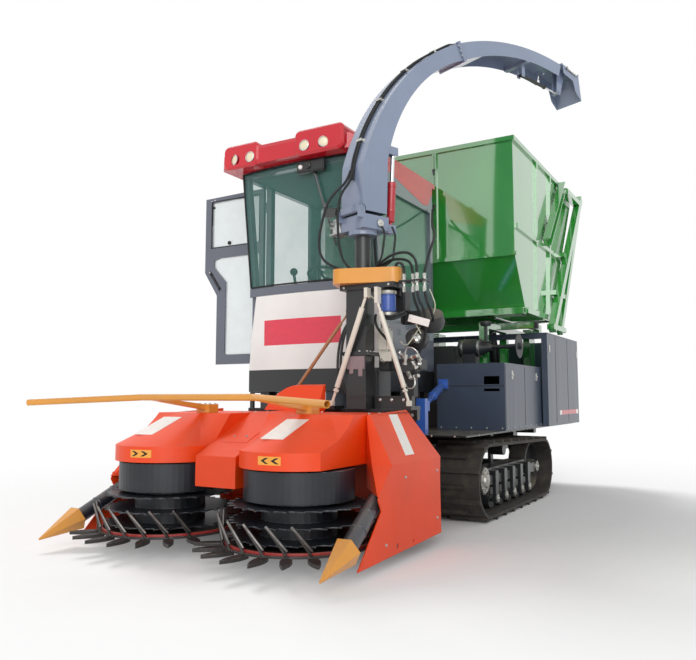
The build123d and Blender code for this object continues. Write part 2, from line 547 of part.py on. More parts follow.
stay_rows = [   # foot X, head, radius of the middle tube, side of the column that the head is on
    (stay_feet[0], (603, -1840, 1752), 19, "front"),
    (stay_feet[1], (514, -1840, 1800), 21, "front"),
    (stay_feet[2], (column_x - COLUMN_WIDTH / 2 - 22, MAST_Y, 1690), 14, "side"),
]


def make_stay(foot_x, head, radius, side):
    """A turnbuckle: eye bar, lock nut and thicker tube between a foot plate and a head plate."""
    foot = Vector(foot_x, FOOT_Y, HEADER_TOP + 45)
    run = Vector(*head) - foot
    stay = rod(foot, head, radius * 0.55, 12) + rod(foot + run * 0.15, foot + run * 0.88, radius, 16)
    stay += rod(foot + run * 0.11, foot + run * 0.13, radius + 3, 6)
    stay += block((foot.X - 14, foot.X + 14), (foot.Y - 20, foot.Y + 20), (HEADER_TOP + 25, HEADER_TOP + 65))
    if side == "front":
        return stay + block((head[0] - 14, head[0] + 14), (head[1] - 16, MAST_Y - 95), (head[2] - 25, GUARD_BOTTOM - 42)) + block(
            (head[0] - 14, head[0] + 14), (head[1] - 16, head[1] + 16), (head[2] - 25, head[2] + 25))
    reach = column_x - COLUMN_WIDTH / 2
    return stay + block((head[0] - 16, reach), (head[1] - 14, head[1] + 14), (head[2] - 25, head[2] + 25))


save("mast_stays", *[make_stay(*row) for row in stay_rows])

# ---- turret and spout -----------------------------------------------------------------------
def spout_place(shape):
    """From the spout's own frame (X across, Y along its reach) to the machine."""
    return Pos(MAST_X, MAST_Y, 0) * Rot(0, 0, -SPOUT_DEG) * shape


half = SPOUT_WIDTH / 2
hinge_ear = half - 12
turret = rod((0, 0, MAST_TOP + 0.5), (0, 0, MAST_TOP + 40), 115)
turret += block((-half, half), (-110, 150), (MAST_TOP + 40, 2435))
for s in (-1, 1):
    ear = (s * hinge_ear - 12, s * hinge_ear + 12)
    turret += block(ear, (-150, -90), (2400, TURRET_HINGE[1]))
    turret += across(*TURRET_HINGE, ear, 30)
turret += two_lugs(SPOUT_CYL_X, 52, 12, (100, SPOUT_BASE[0] + 35), (SPOUT_BASE[1] - 30, SPOUT_BASE[1] + 40))
turret += across(*SPOUT_BASE, (SPOUT_CYL_X - 32, SPOUT_CYL_X + 32), 12)
turret -= across(*TURRET_HINGE, (-half - 1, half + 1), 16)
save("spout_turret", spout_place(turret))

# the duct's arcs: start, middle and end, on its outer and inner side
lower_outer = ((-100, 2850), (280, 3580), (980, 4140))
lower_inner = ((145, 2900), (440, 3545), (1050, 4005))
upper_outer = ((980, 4140), (1740, 4372), (2490, 4390))
upper_inner = ((1050, 4005), (1720, 4240), (2450, 4262))


def duct_face(outer_arc, inner_arc):
    """The side face between an outer and an inner arc."""
    (o0, om, o1), (i0, im, i1) = [[(0, y, z) for y, z in arc] for arc in (outer_arc, inner_arc)]
    return make_face([ThreePointArc(o0, om, o1), Line(o1, i1), ThreePointArc(i1, im, i0), Line(i0, o0)])


def inward(arc, toward, wall):
    """An arc's three points moved by wall towards another arc's."""
    moved = []
    for (y, z), (ty, tz) in zip(arc, toward):
        reach = hypot(ty - y, tz - z)
        moved.append((y + (ty - y) / reach * wall, z + (tz - z) / reach * wall))
    return moved


def duct(outer_arc, inner_arc, floor_wall):
    """A curved box duct of sheet: floor_wall is the wall on its inner arc, 0 for an open underside."""
    shell = extrude(duct_face(outer_arc, inner_arc), SPOUT_WIDTH, dir=(1, 0, 0))
    inner = inward(inner_arc, outer_arc, floor_wall) if floor_wall else inward(inner_arc, outer_arc, -20)
    hole = extrude(duct_face(inward(outer_arc, inner_arc, SPOUT_WALL), inner), SPOUT_WIDTH - 2 * SPOUT_WALL, dir=(1, 0, 0))
    return Pos(-half, 0, 0) * (shell - Pos(SPOUT_WALL, 0, 0) * hole)


def flange(at_outer, at_inner, before, after):
    """A bolted joint ring round the duct, drawn out along the duct from one end to the other."""
    (oy, oz), (iy, iz) = at_outer, at_inner
    reach = hypot(iy - oy, iz - oz)
    ay, az = (oy - iy) / reach, (oz - iz) / reach       # across the duct, outwards
    ty, tz = az, -ay                                    # along the duct
    lip = 16

    def ring(grow, low, high):
        pts = [(oy + ay * grow + ty * low, oz + az * grow + tz * low), (oy + ay * grow + ty * high, oz + az * grow + tz * high),
               (iy - ay * grow + ty * high, iz - az * grow + tz * high), (iy - ay * grow + ty * low, iz - az * grow + tz * low)]
        return side_prism(pts, (-half - grow, half + grow))
    return ring(lip, before, after) - ring(-SPOUT_WALL, before - 1, after + 1)


trunk = side_prism([(-112, 2460), lower_outer[0], lower_inner[0], (130, 2460)], (-half, half))
trunk -= side_prism([(-107, 2455), (-95, 2870), (140, 2920), (125, 2455)], (-half + SPOUT_WALL, half - SPOUT_WALL))
for s in (-1, 1):
    notch = (s * (half - 29), s * (half + 1))
    trunk -= across(*TURRET_HINGE, notch, 37) + block(notch, (-160, -83), (2455, TURRET_HINGE[1]))
knuckle = half - 26
lower = trunk + duct(lower_outer, lower_inner, SPOUT_WALL) + flange(lower_outer[2], lower_inner[2], -16, 0)
lower += block((-knuckle, knuckle), (-140, -100), (2455, 2510))
lower += across(*TURRET_HINGE, (-knuckle, knuckle), 20) + across(*TURRET_HINGE, (-half, half), 15)
lower += two_lugs(SPOUT_CYL_X, 52, 12, (150, SPOUT_EYE[0] + 30), (SPOUT_EYE[1] - 35, SPOUT_EYE[1] + 30))
lower += across(*SPOUT_EYE, (SPOUT_CYL_X - 32, SPOUT_CYL_X + 32), 9)
upper = duct(upper_outer, upper_inner, 0) + flange(upper_outer[0], upper_inner[0], 0, 16)
upper += duct(upper_outer, upper_inner, SPOUT_WALL) & block((-half, half), (900, 1300), (3900, 4400))
FLAP_LUGS = 56
upper += block((-half + 2, half - 2), (1935, 1985), (4262, 4292))
upper += two_lugs(FLAP_CYL_X, FLAP_LUGS, 8, (FLAP_BASE[0] - 22, FLAP_BASE[0] + 22), (FLAP_BASE[1] - 25, 4270))
upper += across(*FLAP_BASE, (FLAP_CYL_X - 34, FLAP_CYL_X + 34), 7)
flap_ears = (-100, 100)                         # X of each
for x in flap_ears:
    ear = (x - 8, x + 8)
    upper += side_prism([(2420, 4384), (2420, 4394), (2495, 4414), (2505, 4386), (2475, 4380)], ear)
    upper += across(*FLAP_HINGE, ear, 14)
    upper -= across(*FLAP_HINGE, (x - 9, x + 9), 9.8)
save("spout_lower", spout_place(lower))
save("spout_upper", spout_place(upper))

# flap: a hood that turns the crop stream down at the duct's end, outside the duct's walls
flap_half = half + 10
flap = side_prism([(2502, 4406), (2774, 4347), (2816, 4091), (2809, 4088), (2767, 4341), (2502, 4399)], (-flap_half, flap_half))
for s in (-1, 1):
    side = (s * (half + 6), s * flap_half)
    flap += side_prism([(2506, 4402), (2770, 4345), (2812, 4090), (2719, 4163), (2677, 4271), (2522, 4310)], side)
for x in flap_ears:
    flap -= block((x - 12, x + 12), (2480, 2534), (4360, 4440))
for span in ((-flap_half, -112), (-88, 88), (112, flap_half)):
    flap += across(*FLAP_HINGE, span, 12)
flap += across(*FLAP_HINGE, (-flap_half, flap_half), 9)
for d in (-1, 1):
    x = FLAP_CYL_X + d * FLAP_LUGS / 2
    flap += side_prism([(2510, 4400), (2640, 4370), (2548, 4112), (2496, 4108), (2494, 4160)], (x - 4, x + 4))
for d in (-1, 1):
    x = FLAP_CYL_X + d * FLAP_LUGS / 2
    flap += across(*FLAP_EYE, (x + d * 2, x + d * 12), 9, 16)
save("spout_flap", spout_place(flap))
spout_cyl = cylinder(SPOUT_CYL_X, SPOUT_BASE, SPOUT_EYE, 33, 17, 22, 36, 12, 66)
save("spout_lift_barrel", spout_place(spout_cyl[0]))
save("spout_lift_rod", spout_place(spout_cyl[1]))
flap_cyl = cylinder(FLAP_CYL_X, FLAP_BASE, FLAP_EYE, 16, 8, 14, 44, 7, 30, FLAP_BACK)
save("flap_cylinder_barrel", spout_place(flap_cyl[0]))
save("flap_cylinder_rod", spout_place(flap_cyl[1]))

# ---- cab ------------------------------------------------------------------------------------
CORNER_Y = CAB_FRONT + CAB_BOW                  # the bowed front's corners
CAB_X = (CAB_RIGHT + CAB_LEFT) / 2
head_corner = CORNER_Y - CAB_LEAN


def bowed(z, shift=0, depth=0, rear=None):
    """The cab's bowed front in plan at one height: a strip of some depth, or all of it to rear."""
    corner, middle = CORNER_Y + shift, CAB_FRONT + shift
    left, right = (CAB_RIGHT, corner, z), (CAB_LEFT, corner, z)
    front = ThreePointArc(left, (CAB_X, middle, z), right)
    if rear is not None:
        back = [Line(right, (CAB_LEFT, rear, z)), Line((CAB_LEFT, rear, z), (CAB_RIGHT, rear, z)), Line((CAB_RIGHT, rear, z), left)]
        return make_face([front, *back])
    behind = [(x, y + depth, z) for x, y in ((CAB_LEFT, corner), (CAB_X, middle), (CAB_RIGHT, corner))]
    return make_face([front, Line(right, behind[0]), ThreePointArc(*behind), Line(behind[2], left)])


cab_base = extrude(bowed(CAB_FLOOR, rear=CAB_REAR), CAB_PANEL_BOTTOM - CAB_FLOOR, dir=(0, 0, 1))
cab_mounts = ((-950, -1100), (-950, -200), (180, -1100), (180, -200))       # X, Y
for x, y in cab_mounts:
    cab_base += block((x - 50, x + 50), (y - 50, y + 50), (DECK_TOP, CAB_FLOOR))
save("cab_base", cab_base)

panel_height = CAB_SILL - SILL_DEPTH - CAB_PANEL_BOTTOM
front_panel = extrude(bowed(CAB_PANEL_BOTTOM, depth=30), panel_height, dir=(0, 0, 1))
front_panel &= front_prism(
    [(CAB_RIGHT, CAB_PANEL_BOTTOM), (CAB_LEFT, CAB_PANEL_BOTTOM), (CAB_LEFT, CAB_SILL - SILL_DEPTH),
     (CAB_RIGHT + 85, CAB_SILL - SILL_DEPTH), (CAB_RIGHT + 30, 1600)],
    (CAB_FRONT - 10, CORNER_Y + 40),
)
save("cab_front_panel", front_panel)

skirt_line = [(-1255, 3050), (-980, 3017), (-280, 2898), (-160, 2920), (-100, 3004), (-60, 3060)]   # its lower edge, Y and Z
door_edges = (DOOR_Y + 30, DOOR_Y + 560, DOOR_Y + 720)      # Y of the doorway's front, low rear and high rear
frame = extrude(bowed(CAB_SILL - SILL_DEPTH, rear=CAB_REAR), SILL_DEPTH, dir=(0, 0, 1))
frame -= block((CAB_RIGHT + 50, CAB_LEFT - 50), (CORNER_Y + 10, CAB_REAR - 50), (CAB_SILL - SILL_DEPTH - 1, CAB_SILL + 1))
low_wall = (CAB_PANEL_BOTTOM, CAB_SILL - SILL_DEPTH)
frame += block((CAB_LEFT - CAB_WALL, CAB_LEFT), (CORNER_Y + 40, CAB_REAR), low_wall)
frame += block((CAB_RIGHT, CAB_LEFT), (CAB_REAR - CAB_WALL, CAB_REAR), low_wall)
frame += block((CAB_RIGHT, CAB_RIGHT + CAB_WALL), (CORNER_Y + 40, CAB_REAR), low_wall)
for x in (CAB_RIGHT, CAB_LEFT - CAB_POST):
    frame += side_prism(
        [(CORNER_Y + GLASS + 4, CAB_SILL), (head_corner + GLASS + 4, CAB_HEAD), (head_corner + 75, CAB_HEAD), (CORNER_Y + 75, CAB_SILL)],
        (x, x + CAB_POST))
    frame += block((x, x + CAB_POST), (CAB_REAR - 60, CAB_REAR), (CAB_SILL, CAB_HEAD))
frame += block((CAB_RIGHT, CAB_RIGHT + CAB_POST), (DOOR_Y - 30, door_edges[0]), (CAB_SILL, CAB_HEAD))
frame += block((CAB_RIGHT, CAB_RIGHT + CAB_WALL), (door_edges[2], CAB_REAR), (CAB_SILL, CAB_HEAD))
frame -= block((CAB_RIGHT - 1, CAB_RIGHT + CAB_POST + 1), (door_edges[0], door_edges[1]), (CAB_PANEL_BOTTOM + 90, CAB_SILL + 1))
head = extrude(bowed(CAB_HEAD - 50, shift=GLASS + 12 - CAB_LEAN, rear=CAB_REAR), 50, dir=(0, 0, 1))
head -= block((CAB_RIGHT + 60, CAB_LEFT - 60), (head_corner + 75, CAB_REAR - 60), (CAB_HEAD - 51, CAB_HEAD + 1))
frame += head
frame += side_prism([(-1270, 2850), (-1300, CAB_HEAD), (CAB_REAR, CAB_HEAD), (CAB_REAR, 2850)], (CAB_LEFT - CAB_POST, CAB_LEFT))
skirt_cut = [(y, z - 1) for y, z in skirt_line]
frame -= side_prism([(-1256, CAB_HEAD + 5), (-1256, 3049), *skirt_cut[1:], (CAB_REAR + 1, 3060), (CAB_REAR + 1, CAB_HEAD + 5)],
                    (CAB_LEFT - CAB_POST - 1, CAB_LEFT + 1))
for z in DOOR_HINGES:
    for d in (-1, 1):
        frame += block((DOOR_X - 14, CAB_RIGHT), (DOOR_Y - 14, DOOR_Y + 10), (z + d * 42 - 8, z + d * 42 + 8))
    frame += rod((DOOR_X, DOOR_Y, z - 45), (DOOR_X, DOOR_Y, z + 45), 7)
save("cab_frame", frame)
save("windscreen", loft([bowed(CAB_SILL, depth=GLASS), bowed(CAB_HEAD, shift=-CAB_LEAN, depth=GLASS)], ruled=True))
side_glass = side_prism(
    [(CORNER_Y + 75, CAB_SILL), (CORNER_Y + 75 - CAB_LEAN * 0.75, 2850), (CAB_REAR - 60, 2850), (CAB_REAR - 60, CAB_SILL)],
    (CAB_LEFT - 34, CAB_LEFT - 34 + GLASS))
rear_glass = block((CAB_RIGHT + CAB_POST, CAB_LEFT - CAB_POST), (CAB_REAR - 34, CAB_REAR - 34 + GLASS), (CAB_SILL, CAB_HEAD - 50))
save("cab_glass", side_glass, rear_glass)

# roof: a crowned slab with a lowered left edge and two lamp pods at the front
ROOF_FRONT, ROOF_REAR, ROOF_RIGHT = -1560, 10, -1180
roof_plan = [(ROOF_RIGHT + 40, ROOF_FRONT), (90, ROOF_FRONT), (270, -1420), (CAB_LEFT, -1380), (CAB_LEFT, ROOF_REAR),
             (ROOF_RIGHT, ROOF_REAR), (ROOF_RIGHT, ROOF_FRONT + 40)]
roof_section = [(ROOF_RIGHT, CAB_HEAD), (ROOF_RIGHT, 3205), (ROOF_RIGHT + 60, 3260), (-800, ROOF_TOP), (0, ROOF_TOP),
                (180, 3250), (CAB_LEFT, 3170), (CAB_LEFT, CAB_HEAD)]
roof = front_prism(roof_section, (ROOF_FRONT, ROOF_REAR)) & plan_prism(roof_plan, (CAB_HEAD - 1, 3400))
front_slope = [(ROOF_FRONT, CAB_HEAD), (ROOF_FRONT, 3255), (ROOF_FRONT + 60, 3400), (ROOF_REAR, 3400), (ROOF_REAR, CAB_HEAD)]
roof &= side_prism(front_slope, (-1300, 400))
roof += side_prism([(skirt_line[0][0], CAB_HEAD + 20), *skirt_line, (skirt_line[-1][0], CAB_HEAD + 20)], (CAB_LEFT - CAB_POST, CAB_LEFT))
pods = ((-1140, -740, 3330), (-350, 150, 3335))              # low X, high X, top Z
for x0, x1, top in pods:
    pod = block((x0, x1), (ROOF_FRONT - 15, -1330), (3108, top))
    pod = fillet(pod.edges().filter_by(Axis.Y), 55)
    pod = chamfer(pod.faces().sort_by(Axis.Y)[0].edges(), 18)
    roof += pod
lamps = (-1002, -829, -241, -47)                            # X of each
LAMP_Z, LAMP_RADIUS, LAMP_DEPTH = 3190, 50, 30
for x in lamps:
    roof -= rod((x, ROOF_FRONT - 20, LAMP_Z - 5), (x, ROOF_FRONT - 15 + LAMP_DEPTH, LAMP_Z), LAMP_RADIUS, 32)
roof -= block((CAB_RIGHT - 200, CAB_LEFT + 100), (head_corner - 80, CAB_REAR + 100), (3000, CAB_HEAD)) - block(
    (CAB_LEFT - CAB_POST, CAB_LEFT + 1), (-1256, -59), (2800, CAB_HEAD + 1))
save("cab_roof", roof)

# door, open: the leaf stands straight out from the cab's side
leaf = (DOOR_Y - 25, DOOR_Y - 25 + DOOR_THICKNESS)
OUTER_X, KNEE_X, STILE_X = DOOR_X - DOOR_WIDTH, DOOR_X - 605, DOOR_X - 18


def door_panel(points, y=leaf):
    return front_prism(points, y)


door = door_panel([(STILE_X, DOOR_BOTTOM), (STILE_X, DOOR_TOP), (OUTER_X, DOOR_TOP - 12), (OUTER_X, 2303), (KNEE_X, 2057), (KNEE_X, DOOR_BOTTOM)])
upper_pane = [(STILE_X - 52, 2558), (STILE_X - 52, 3045), (OUTER_X + 80, 3034), (OUTER_X + 90, 2558)]
lower_pane = [(STILE_X - 52, 1448), (STILE_X - 52, 2444), (OUTER_X + 200, 2444), (OUTER_X + 118, 2424), (OUTER_X + 118, 2360),
              (OUTER_X + 150, 2320), (KNEE_X + 112, 2190), (KNEE_X + 106, 1465), (KNEE_X + 120, 1448)]
wide = (leaf[0] - 1, leaf[1] + 1)
door -= door_panel(upper_pane, wide) + door_panel(lower_pane, wide)
door -= door_panel([(OUTER_X + 52, 2300), (OUTER_X + 85, 2315), (KNEE_X + 72, 2105), (KNEE_X + 35, 2095)], (leaf[0] - 1, leaf[0] + 14))
for z in DOOR_HINGES:
    door += block((DOOR_X - 30, DOOR_X), (DOOR_Y - 7, DOOR_Y + 7), (z - 28, z + 28))
    door += rod((DOOR_X, DOOR_Y, z - 28), (DOOR_X, DOOR_Y, z + 28), 12)
    door -= rod((DOOR_X, DOOR_Y, z - 29), (DOOR_X, DOOR_Y, z + 29), 7.5)
save("cab_door", door)
pane = (DOOR_Y - 11, DOOR_Y - 5)
save("door_glass", door_panel(upper_pane, pane), door_panel(lower_pane, pane))

seat_sections = [   # X half width, low and high Y, low and high Z
    (190, (-640, -240), (CAB_PANEL_BOTTOM, 1500)),
    (250, (-690, -200), (1500, 1640)),
]
SEAT_X = -390
seat = fused(block((SEAT_X - w, SEAT_X + w), y, z) for w, y, z in seat_sections)
seat += side_prism([(-320, 1640), (-240, 2230), (-120, 2230), (-200, 1600)], (SEAT_X - 240, SEAT_X + 240))
seat += side_prism([(-235, 2230), (-215, 2400), (-125, 2400), (-120, 2230)], (SEAT_X - 120, SEAT_X + 120))
save("operator_seat", seat)
console = side_prism([(-1180, CAB_PANEL_BOTTOM), (-1180, 1930), (-1080, 1990), (-1000, 1960), (-1000, CAB_PANEL_BOTTOM)], (-700, -120))
console += block((-860, -700), (-900, -350), (CAB_PANEL_BOTTOM, 1900)) + block((-760, -690), (-1050, -850), (CAB_PANEL_BOTTOM, 1850))
console += rod((-800, -800, 1880), (-850, -830, 2230), 14, 12) + Pos(-850, -830, 2250) * Sphere(38)
console += rod((SEAT_X, -1060, 1940), (SEAT_X, -960, 2090), 22, 16)
save("control_console", console)
stile_ys = (-1000, -625)                        # Y of each
rung_zs = (430, 640, 850, 1060)                 # Z of each
ladder = fused(block((-1240, CAB_RIGHT), (y, y + 25), (1100, 1140)) for y in stile_ys)
for y in stile_ys:
    ladder += block((-1240, -1200), (y, y + 25), (420, 1140))
for z in rung_zs:
    ladder += block((-1240, -1150), (-1000, -600), (z, z + 25))
save("cab_ladder", ladder)

# ---- engine, boxes, rear housing ------------------------------------------------------------
save("engine", block((-340, 340), (350, 1450), (DECK_TOP, 1550)))
left_box = block((380, 1053), (BOX_FRONT, HOUSING_FRONT), (DECK_TOP, BOX_TOP))
left_box -= block((380 + SHEET, 1053 - SHEET), (BOX_FRONT + SHEET, HOUSING_FRONT - SHEET), (DECK_TOP + SHEET, BOX_TOP - SHEET))
left_box -= rod((433, BOX_FRONT - 1, 1146), (433, BOX_FRONT + SHEET + 1, 1146), 42)
box_slots = ((850, 1000, 1140, 1215), (850, 1000, 1075, 1100))              # X and Z limits
for x0, x1, z0, z1 in box_slots:
    left_box -= block((x0, x1), (BOX_FRONT - 1, BOX_FRONT + SHEET + 1), (z0, z1))
save("left_side_box", left_box)
tank = block((-1053, -400), (100, HOUSING_FRONT), (DECK_TOP, BOX_TOP))
save("fuel_tank", fillet(tank.edges().filter_by(Axis.Y), 40) + rod((-900, 300, BOX_TOP - 5), (-900, 300, BOX_TOP + 60), 55, 24))

HOUSING_WALL, POST = 8, 62
rear = block((-HOUSING_X, HOUSING_X), (HOUSING_FRONT, HOUSING_REAR), (DECK_TOP, HOUSING_TOP))
rear -= block((-HOUSING_X + HOUSING_WALL, HOUSING_X - HOUSING_WALL), (HOUSING_FRONT - 1, HOUSING_REAR - HOUSING_WALL), (DECK_TOP - 1, HOUSING_TOP + 1))
for s in (-1, 1):
    inner_x = s * (HOUSING_X - POST)
    rear += block((inner_x, s * (HOUSING_X - 4)), (HOUSING_FRONT, HOUSING_FRONT + POST), (DECK_TOP, HOUSING_TOP))
    rear += block((inner_x, s * (HOUSING_X - 4)), (HOUSING_REAR - POST, HOUSING_REAR - 4), (DECK_TOP, HOUSING_TOP))
    rear += block((s * 1030, s * (HOUSING_X - 4)), (HOUSING_FRONT, HOUSING_REAR - 4), (DECK_TOP, DECK_TOP + 8))
rear += block((-HOUSING_X + 4, HOUSING_X - 4), (HOUSING_REAR - 60, HOUSING_REAR - 4), (DECK_TOP, DECK_TOP + 8))
rear += block((-HOUSING_X + 4, HOUSING_X - 4), (HOUSING_FRONT, HOUSING_FRONT + 50), (HOUSING_TOP - 58, HOUSING_TOP))
save("rear_housing", rear)

# muffler across the machine above the left box, with its rain disc at the outer end
EXHAUST_Y, EXHAUST_Z = 410, 1526
muffler = across(EXHAUST_Y, EXHAUST_Z, (400, 620), 90, 32)
muffler += Pos(680, EXHAUST_Y, EXHAUST_Z) * Rot(0, 90, 0) * Cone(90, 28, 120)
muffler += across(EXHAUST_Y, EXHAUST_Z, (735, 1050), 20, 20) + across(EXHAUST_Y, EXHAUST_Z, (1010, 1022), 120, 40) + across(EXHAUST_Y, EXHAUST_Z, (1022, 1045), 34)
muffler += block((440, 580), (EXHAUST_Y - 60, EXHAUST_Y + 60), (BOX_TOP, EXHAUST_Z - 60))
save("muffler", muffler)

# ---- bin and its support --------------------------------------------------------------------
RAIL_LOW, RAIL_HIGH = 1735, 1800
support_x, base_x = 600, 690
columns = ((530, 610, BOX_TOP), (1200, 1280, DECK_TOP))     # low Y, high Y, foot Z
support = block((-1100, 1100), (770, 835), (RAIL_LOW, RAIL_HIGH))
support += block((-support_x, support_x), (2130, 2190), (RAIL_LOW, RAIL_HIGH))
for s in (-1, 1):
    x = (s * support_x - 40, s * support_x + 40)
    support += block(x, (530, 2200), (RAIL_LOW, RAIL_HIGH))
    for y0, y1, foot in columns:
        support += block(x, (y0, y1), (foot, RAIL_LOW))
    support += block(x, (2120, 2360), (DECK_TOP, 1850)) - block((x[0] - 1, x[1] + 1), (2200, 2260), (DECK_TOP + 60, RAIL_LOW - 60))
    support -= across(BIN_PIVOT_Y, BIN_PIVOT_Z, (x[0] - 10, x[1] + 10), 25.8)
    support += two_lugs(s * TIP_X, 84, 16, (TIP_BASE[0] - 50, TIP_BASE[0] + 50), (DECK_TOP, TIP_BASE[1] + 45))
    support += block((s * TIP_X - 50, s * TIP_X + 50), (TIP_BASE[0] - 50, TIP_BASE[0] + 50), (DECK_TOP, DECK_TOP + 20))
    support += across(*TIP_BASE, (s * TIP_X - 50, s * TIP_X + 50), 20)
save("bin_support", *support.solids())

bin_outline = [(BIN_FRONT_TOP, BIN_TOP), (BIN_FRONT_TOP, BIN_KNEE), (BIN_FRONT_BOTTOM, BIN_FLOOR), (BIN_REAR_BOTTOM, BIN_FLOOR), (BIN_REAR_TOP, BIN_TOP)]
bin_inside = [(BIN_FRONT_TOP + BIN_WALL, BIN_TOP + 1), (BIN_FRONT_TOP + BIN_WALL, BIN_KNEE + 8), (BIN_FRONT_BOTTOM + 16, BIN_FLOOR + BIN_WALL),
              (BIN_REAR_BOTTOM - 14, BIN_FLOOR + BIN_WALL), (BIN_REAR_TOP - 34, BIN_TOP + 1)]
inside_x = BIN_HALF_WIDTH - BIN_WALL
hopper = side_prism(bin_outline, (-BIN_HALF_WIDTH, BIN_HALF_WIDTH)) - side_prism(bin_inside, (-inside_x, inside_x))
out = 22                                        # the tubes stand this far off the sheet
front_tubes = ((BIN_TOP - BIN_TUBE, BIN_TOP), (BIN_KNEE - 12, BIN_KNEE + 26))   # Z limits
for z in front_tubes:
    hopper += block((-BIN_HALF_WIDTH - out, BIN_HALF_WIDTH + out), (BIN_FRONT_TOP - out, BIN_FRONT_TOP + 10), z)
for x in (236, 262):
    hopper += block((x, x + 20), (BIN_FRONT_TOP - out, BIN_FRONT_TOP + 5), (BIN_KNEE, BIN_TOP))
side_tubes = (  # both ends as (Y, Z), depth of the tube
    ((BIN_FRONT_TOP, BIN_TOP - BIN_TUBE / 2), (BIN_REAR_TOP - 20, BIN_TOP - BIN_TUBE / 2), BIN_TUBE),
    ((160, 2690), (1990, 2645), 46),
    ((935, BIN_TOP - 30), (820, BIN_FLOOR + 10), 46),
    ((1500, BIN_TOP - 30), (1340, BIN_FLOOR + 10), 46),
    ((BIN_FRONT_BOTTOM + 45, BIN_FLOOR - 25), (BIN_REAR_BOTTOM, BIN_FLOOR - 25), 60),
)
for s in (-1, 1):
    for start, end, depth in side_tubes:
        x = s * (BIN_HALF_WIDTH + out / 2 - 1)
        hopper += beam((x, *start), (x, *end), out + 2, depth)
hopper += block((-BIN_HALF_WIDTH, BIN_HALF_WIDTH), (BIN_REAR_TOP - 40, BIN_REAR_TOP + out), (BIN_TOP - BIN_TUBE, BIN_TOP))
save("bin_body", hopper)

TUBE_LOW, tube_wall = 1850, 8
cross_tubes = ((390, 465), (1110, 1190), (1400, 1480))      # Y limits of each
base = None
for y0, y1 in cross_tubes:
    bar = block((-BIN_HALF_WIDTH + 3, BIN_HALF_WIDTH - 3), (y0, y1), (TUBE_LOW, BIN_FLOOR))
    base = bar if base is None else base + bar
for s in (-1, 1):
    x = (s * base_x - 40, s * base_x + 40)
    base += block(x, (440, BIN_PIVOT_Y + 40), (TUBE_LOW, BIN_FLOOR))
    base += block(x, (BIN_PIVOT_Y - 60, BIN_PIVOT_Y + 60), (BIN_PIVOT_Z - 60, BIN_FLOOR))
    base += across(BIN_PIVOT_Y, BIN_PIVOT_Z, (s * 560, s * base_x), 25)
    base += two_lugs(s * TIP_X, 84, 16, (TIP_EYE[0] - 35, TIP_EYE[0] + 35), (TIP_EYE[1] - 35, TUBE_LOW + 10))
    for d in (-1, 1):
        x = s * TIP_X + d * 42
        base += across(*TIP_EYE, (x + d * 6, x + d * 18), 24, 16)
    end = (s * (BIN_HALF_WIDTH - 120), s * (BIN_HALF_WIDTH + 1))
    base -= block(end, (cross_tubes[0][0] + tube_wall, cross_tubes[0][1] - tube_wall), (TUBE_LOW + tube_wall, BIN_FLOOR - tube_wall))
base -= side_prism(bin_outline, (-BIN_HALF_WIDTH - 1, BIN_HALF_WIDTH + 1))
save("bin_base", base)
tip_cyl = cylinder(TIP_X, TIP_BASE, TIP_EYE, 50, 28, 40, 60, 20, 75)
save("bin_tip_barrels", tip_cyl[0], other_side(tip_cyl[0]))
save("bin_tip_rods", tip_cyl[1], other_side(tip_cyl[1]))

# tipping frames on the bin's sides: two slanted beams that meet under the rear rim, and a channel
FRAME_X = BIN_HALF_WIDTH + out + 1
long_beam = beam((FRAME_X + 60, 1150, 1745), (FRAME_X + 60, 2700, 3560), 74, 90)
short_beam = beam((FRAME_X + 35, 1580, 1745), (FRAME_X + 35, 2730, 3450), 60, 80)
channel = beam((FRAME_X + 37, 1130, 2703), (FRAME_X + 37, 1930, 3545), 76, 95) - beam((FRAME_X + 57, 1100, 2671), (FRAME_X + 57, 1960, 3577), 76, 75)
side_frame = long_beam + short_beam + channel
struts = ((1520, 2180), (1950, 2680))           # Y and Z of each
for y, z in struts:
    side_frame += block((FRAME_X - 1, FRAME_X + 60), (y - 160, y + 320), (z - 25, z + 25))
side_frame += block((FRAME_X + 5, FRAME_X + 97), (1930, 2640), (3440, 3500))
side_frame += block((FRAME_X + 22, FRAME_X + 97), (1090, 1640), (1745, 1800))
pair("bin_side_frames", side_frame)

# cardan shaft from the left box down to its stand beside the crop housing
CARDAN = ((450, -195, 1142), (640, -1065, 950))
cardan = rod(*CARDAN, 26, 16) + rod((492, -387, 1100), (560, -700, 1031), 40, 24)
cardan += block((405, 495), (-205, BOX_FRONT - 0.5), (1100, 1190)) + block((598, 682), (-1080, -1050), (905, 990))
cardan += block((600, 680), (-1140, -1080), (DECK_TOP, 1010))
save("cardan_shaft", cardan)
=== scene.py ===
from math import atan2, cos, hypot, pi, radians, sin

import bmesh
import bpy
from mathutils import Matrix, Vector


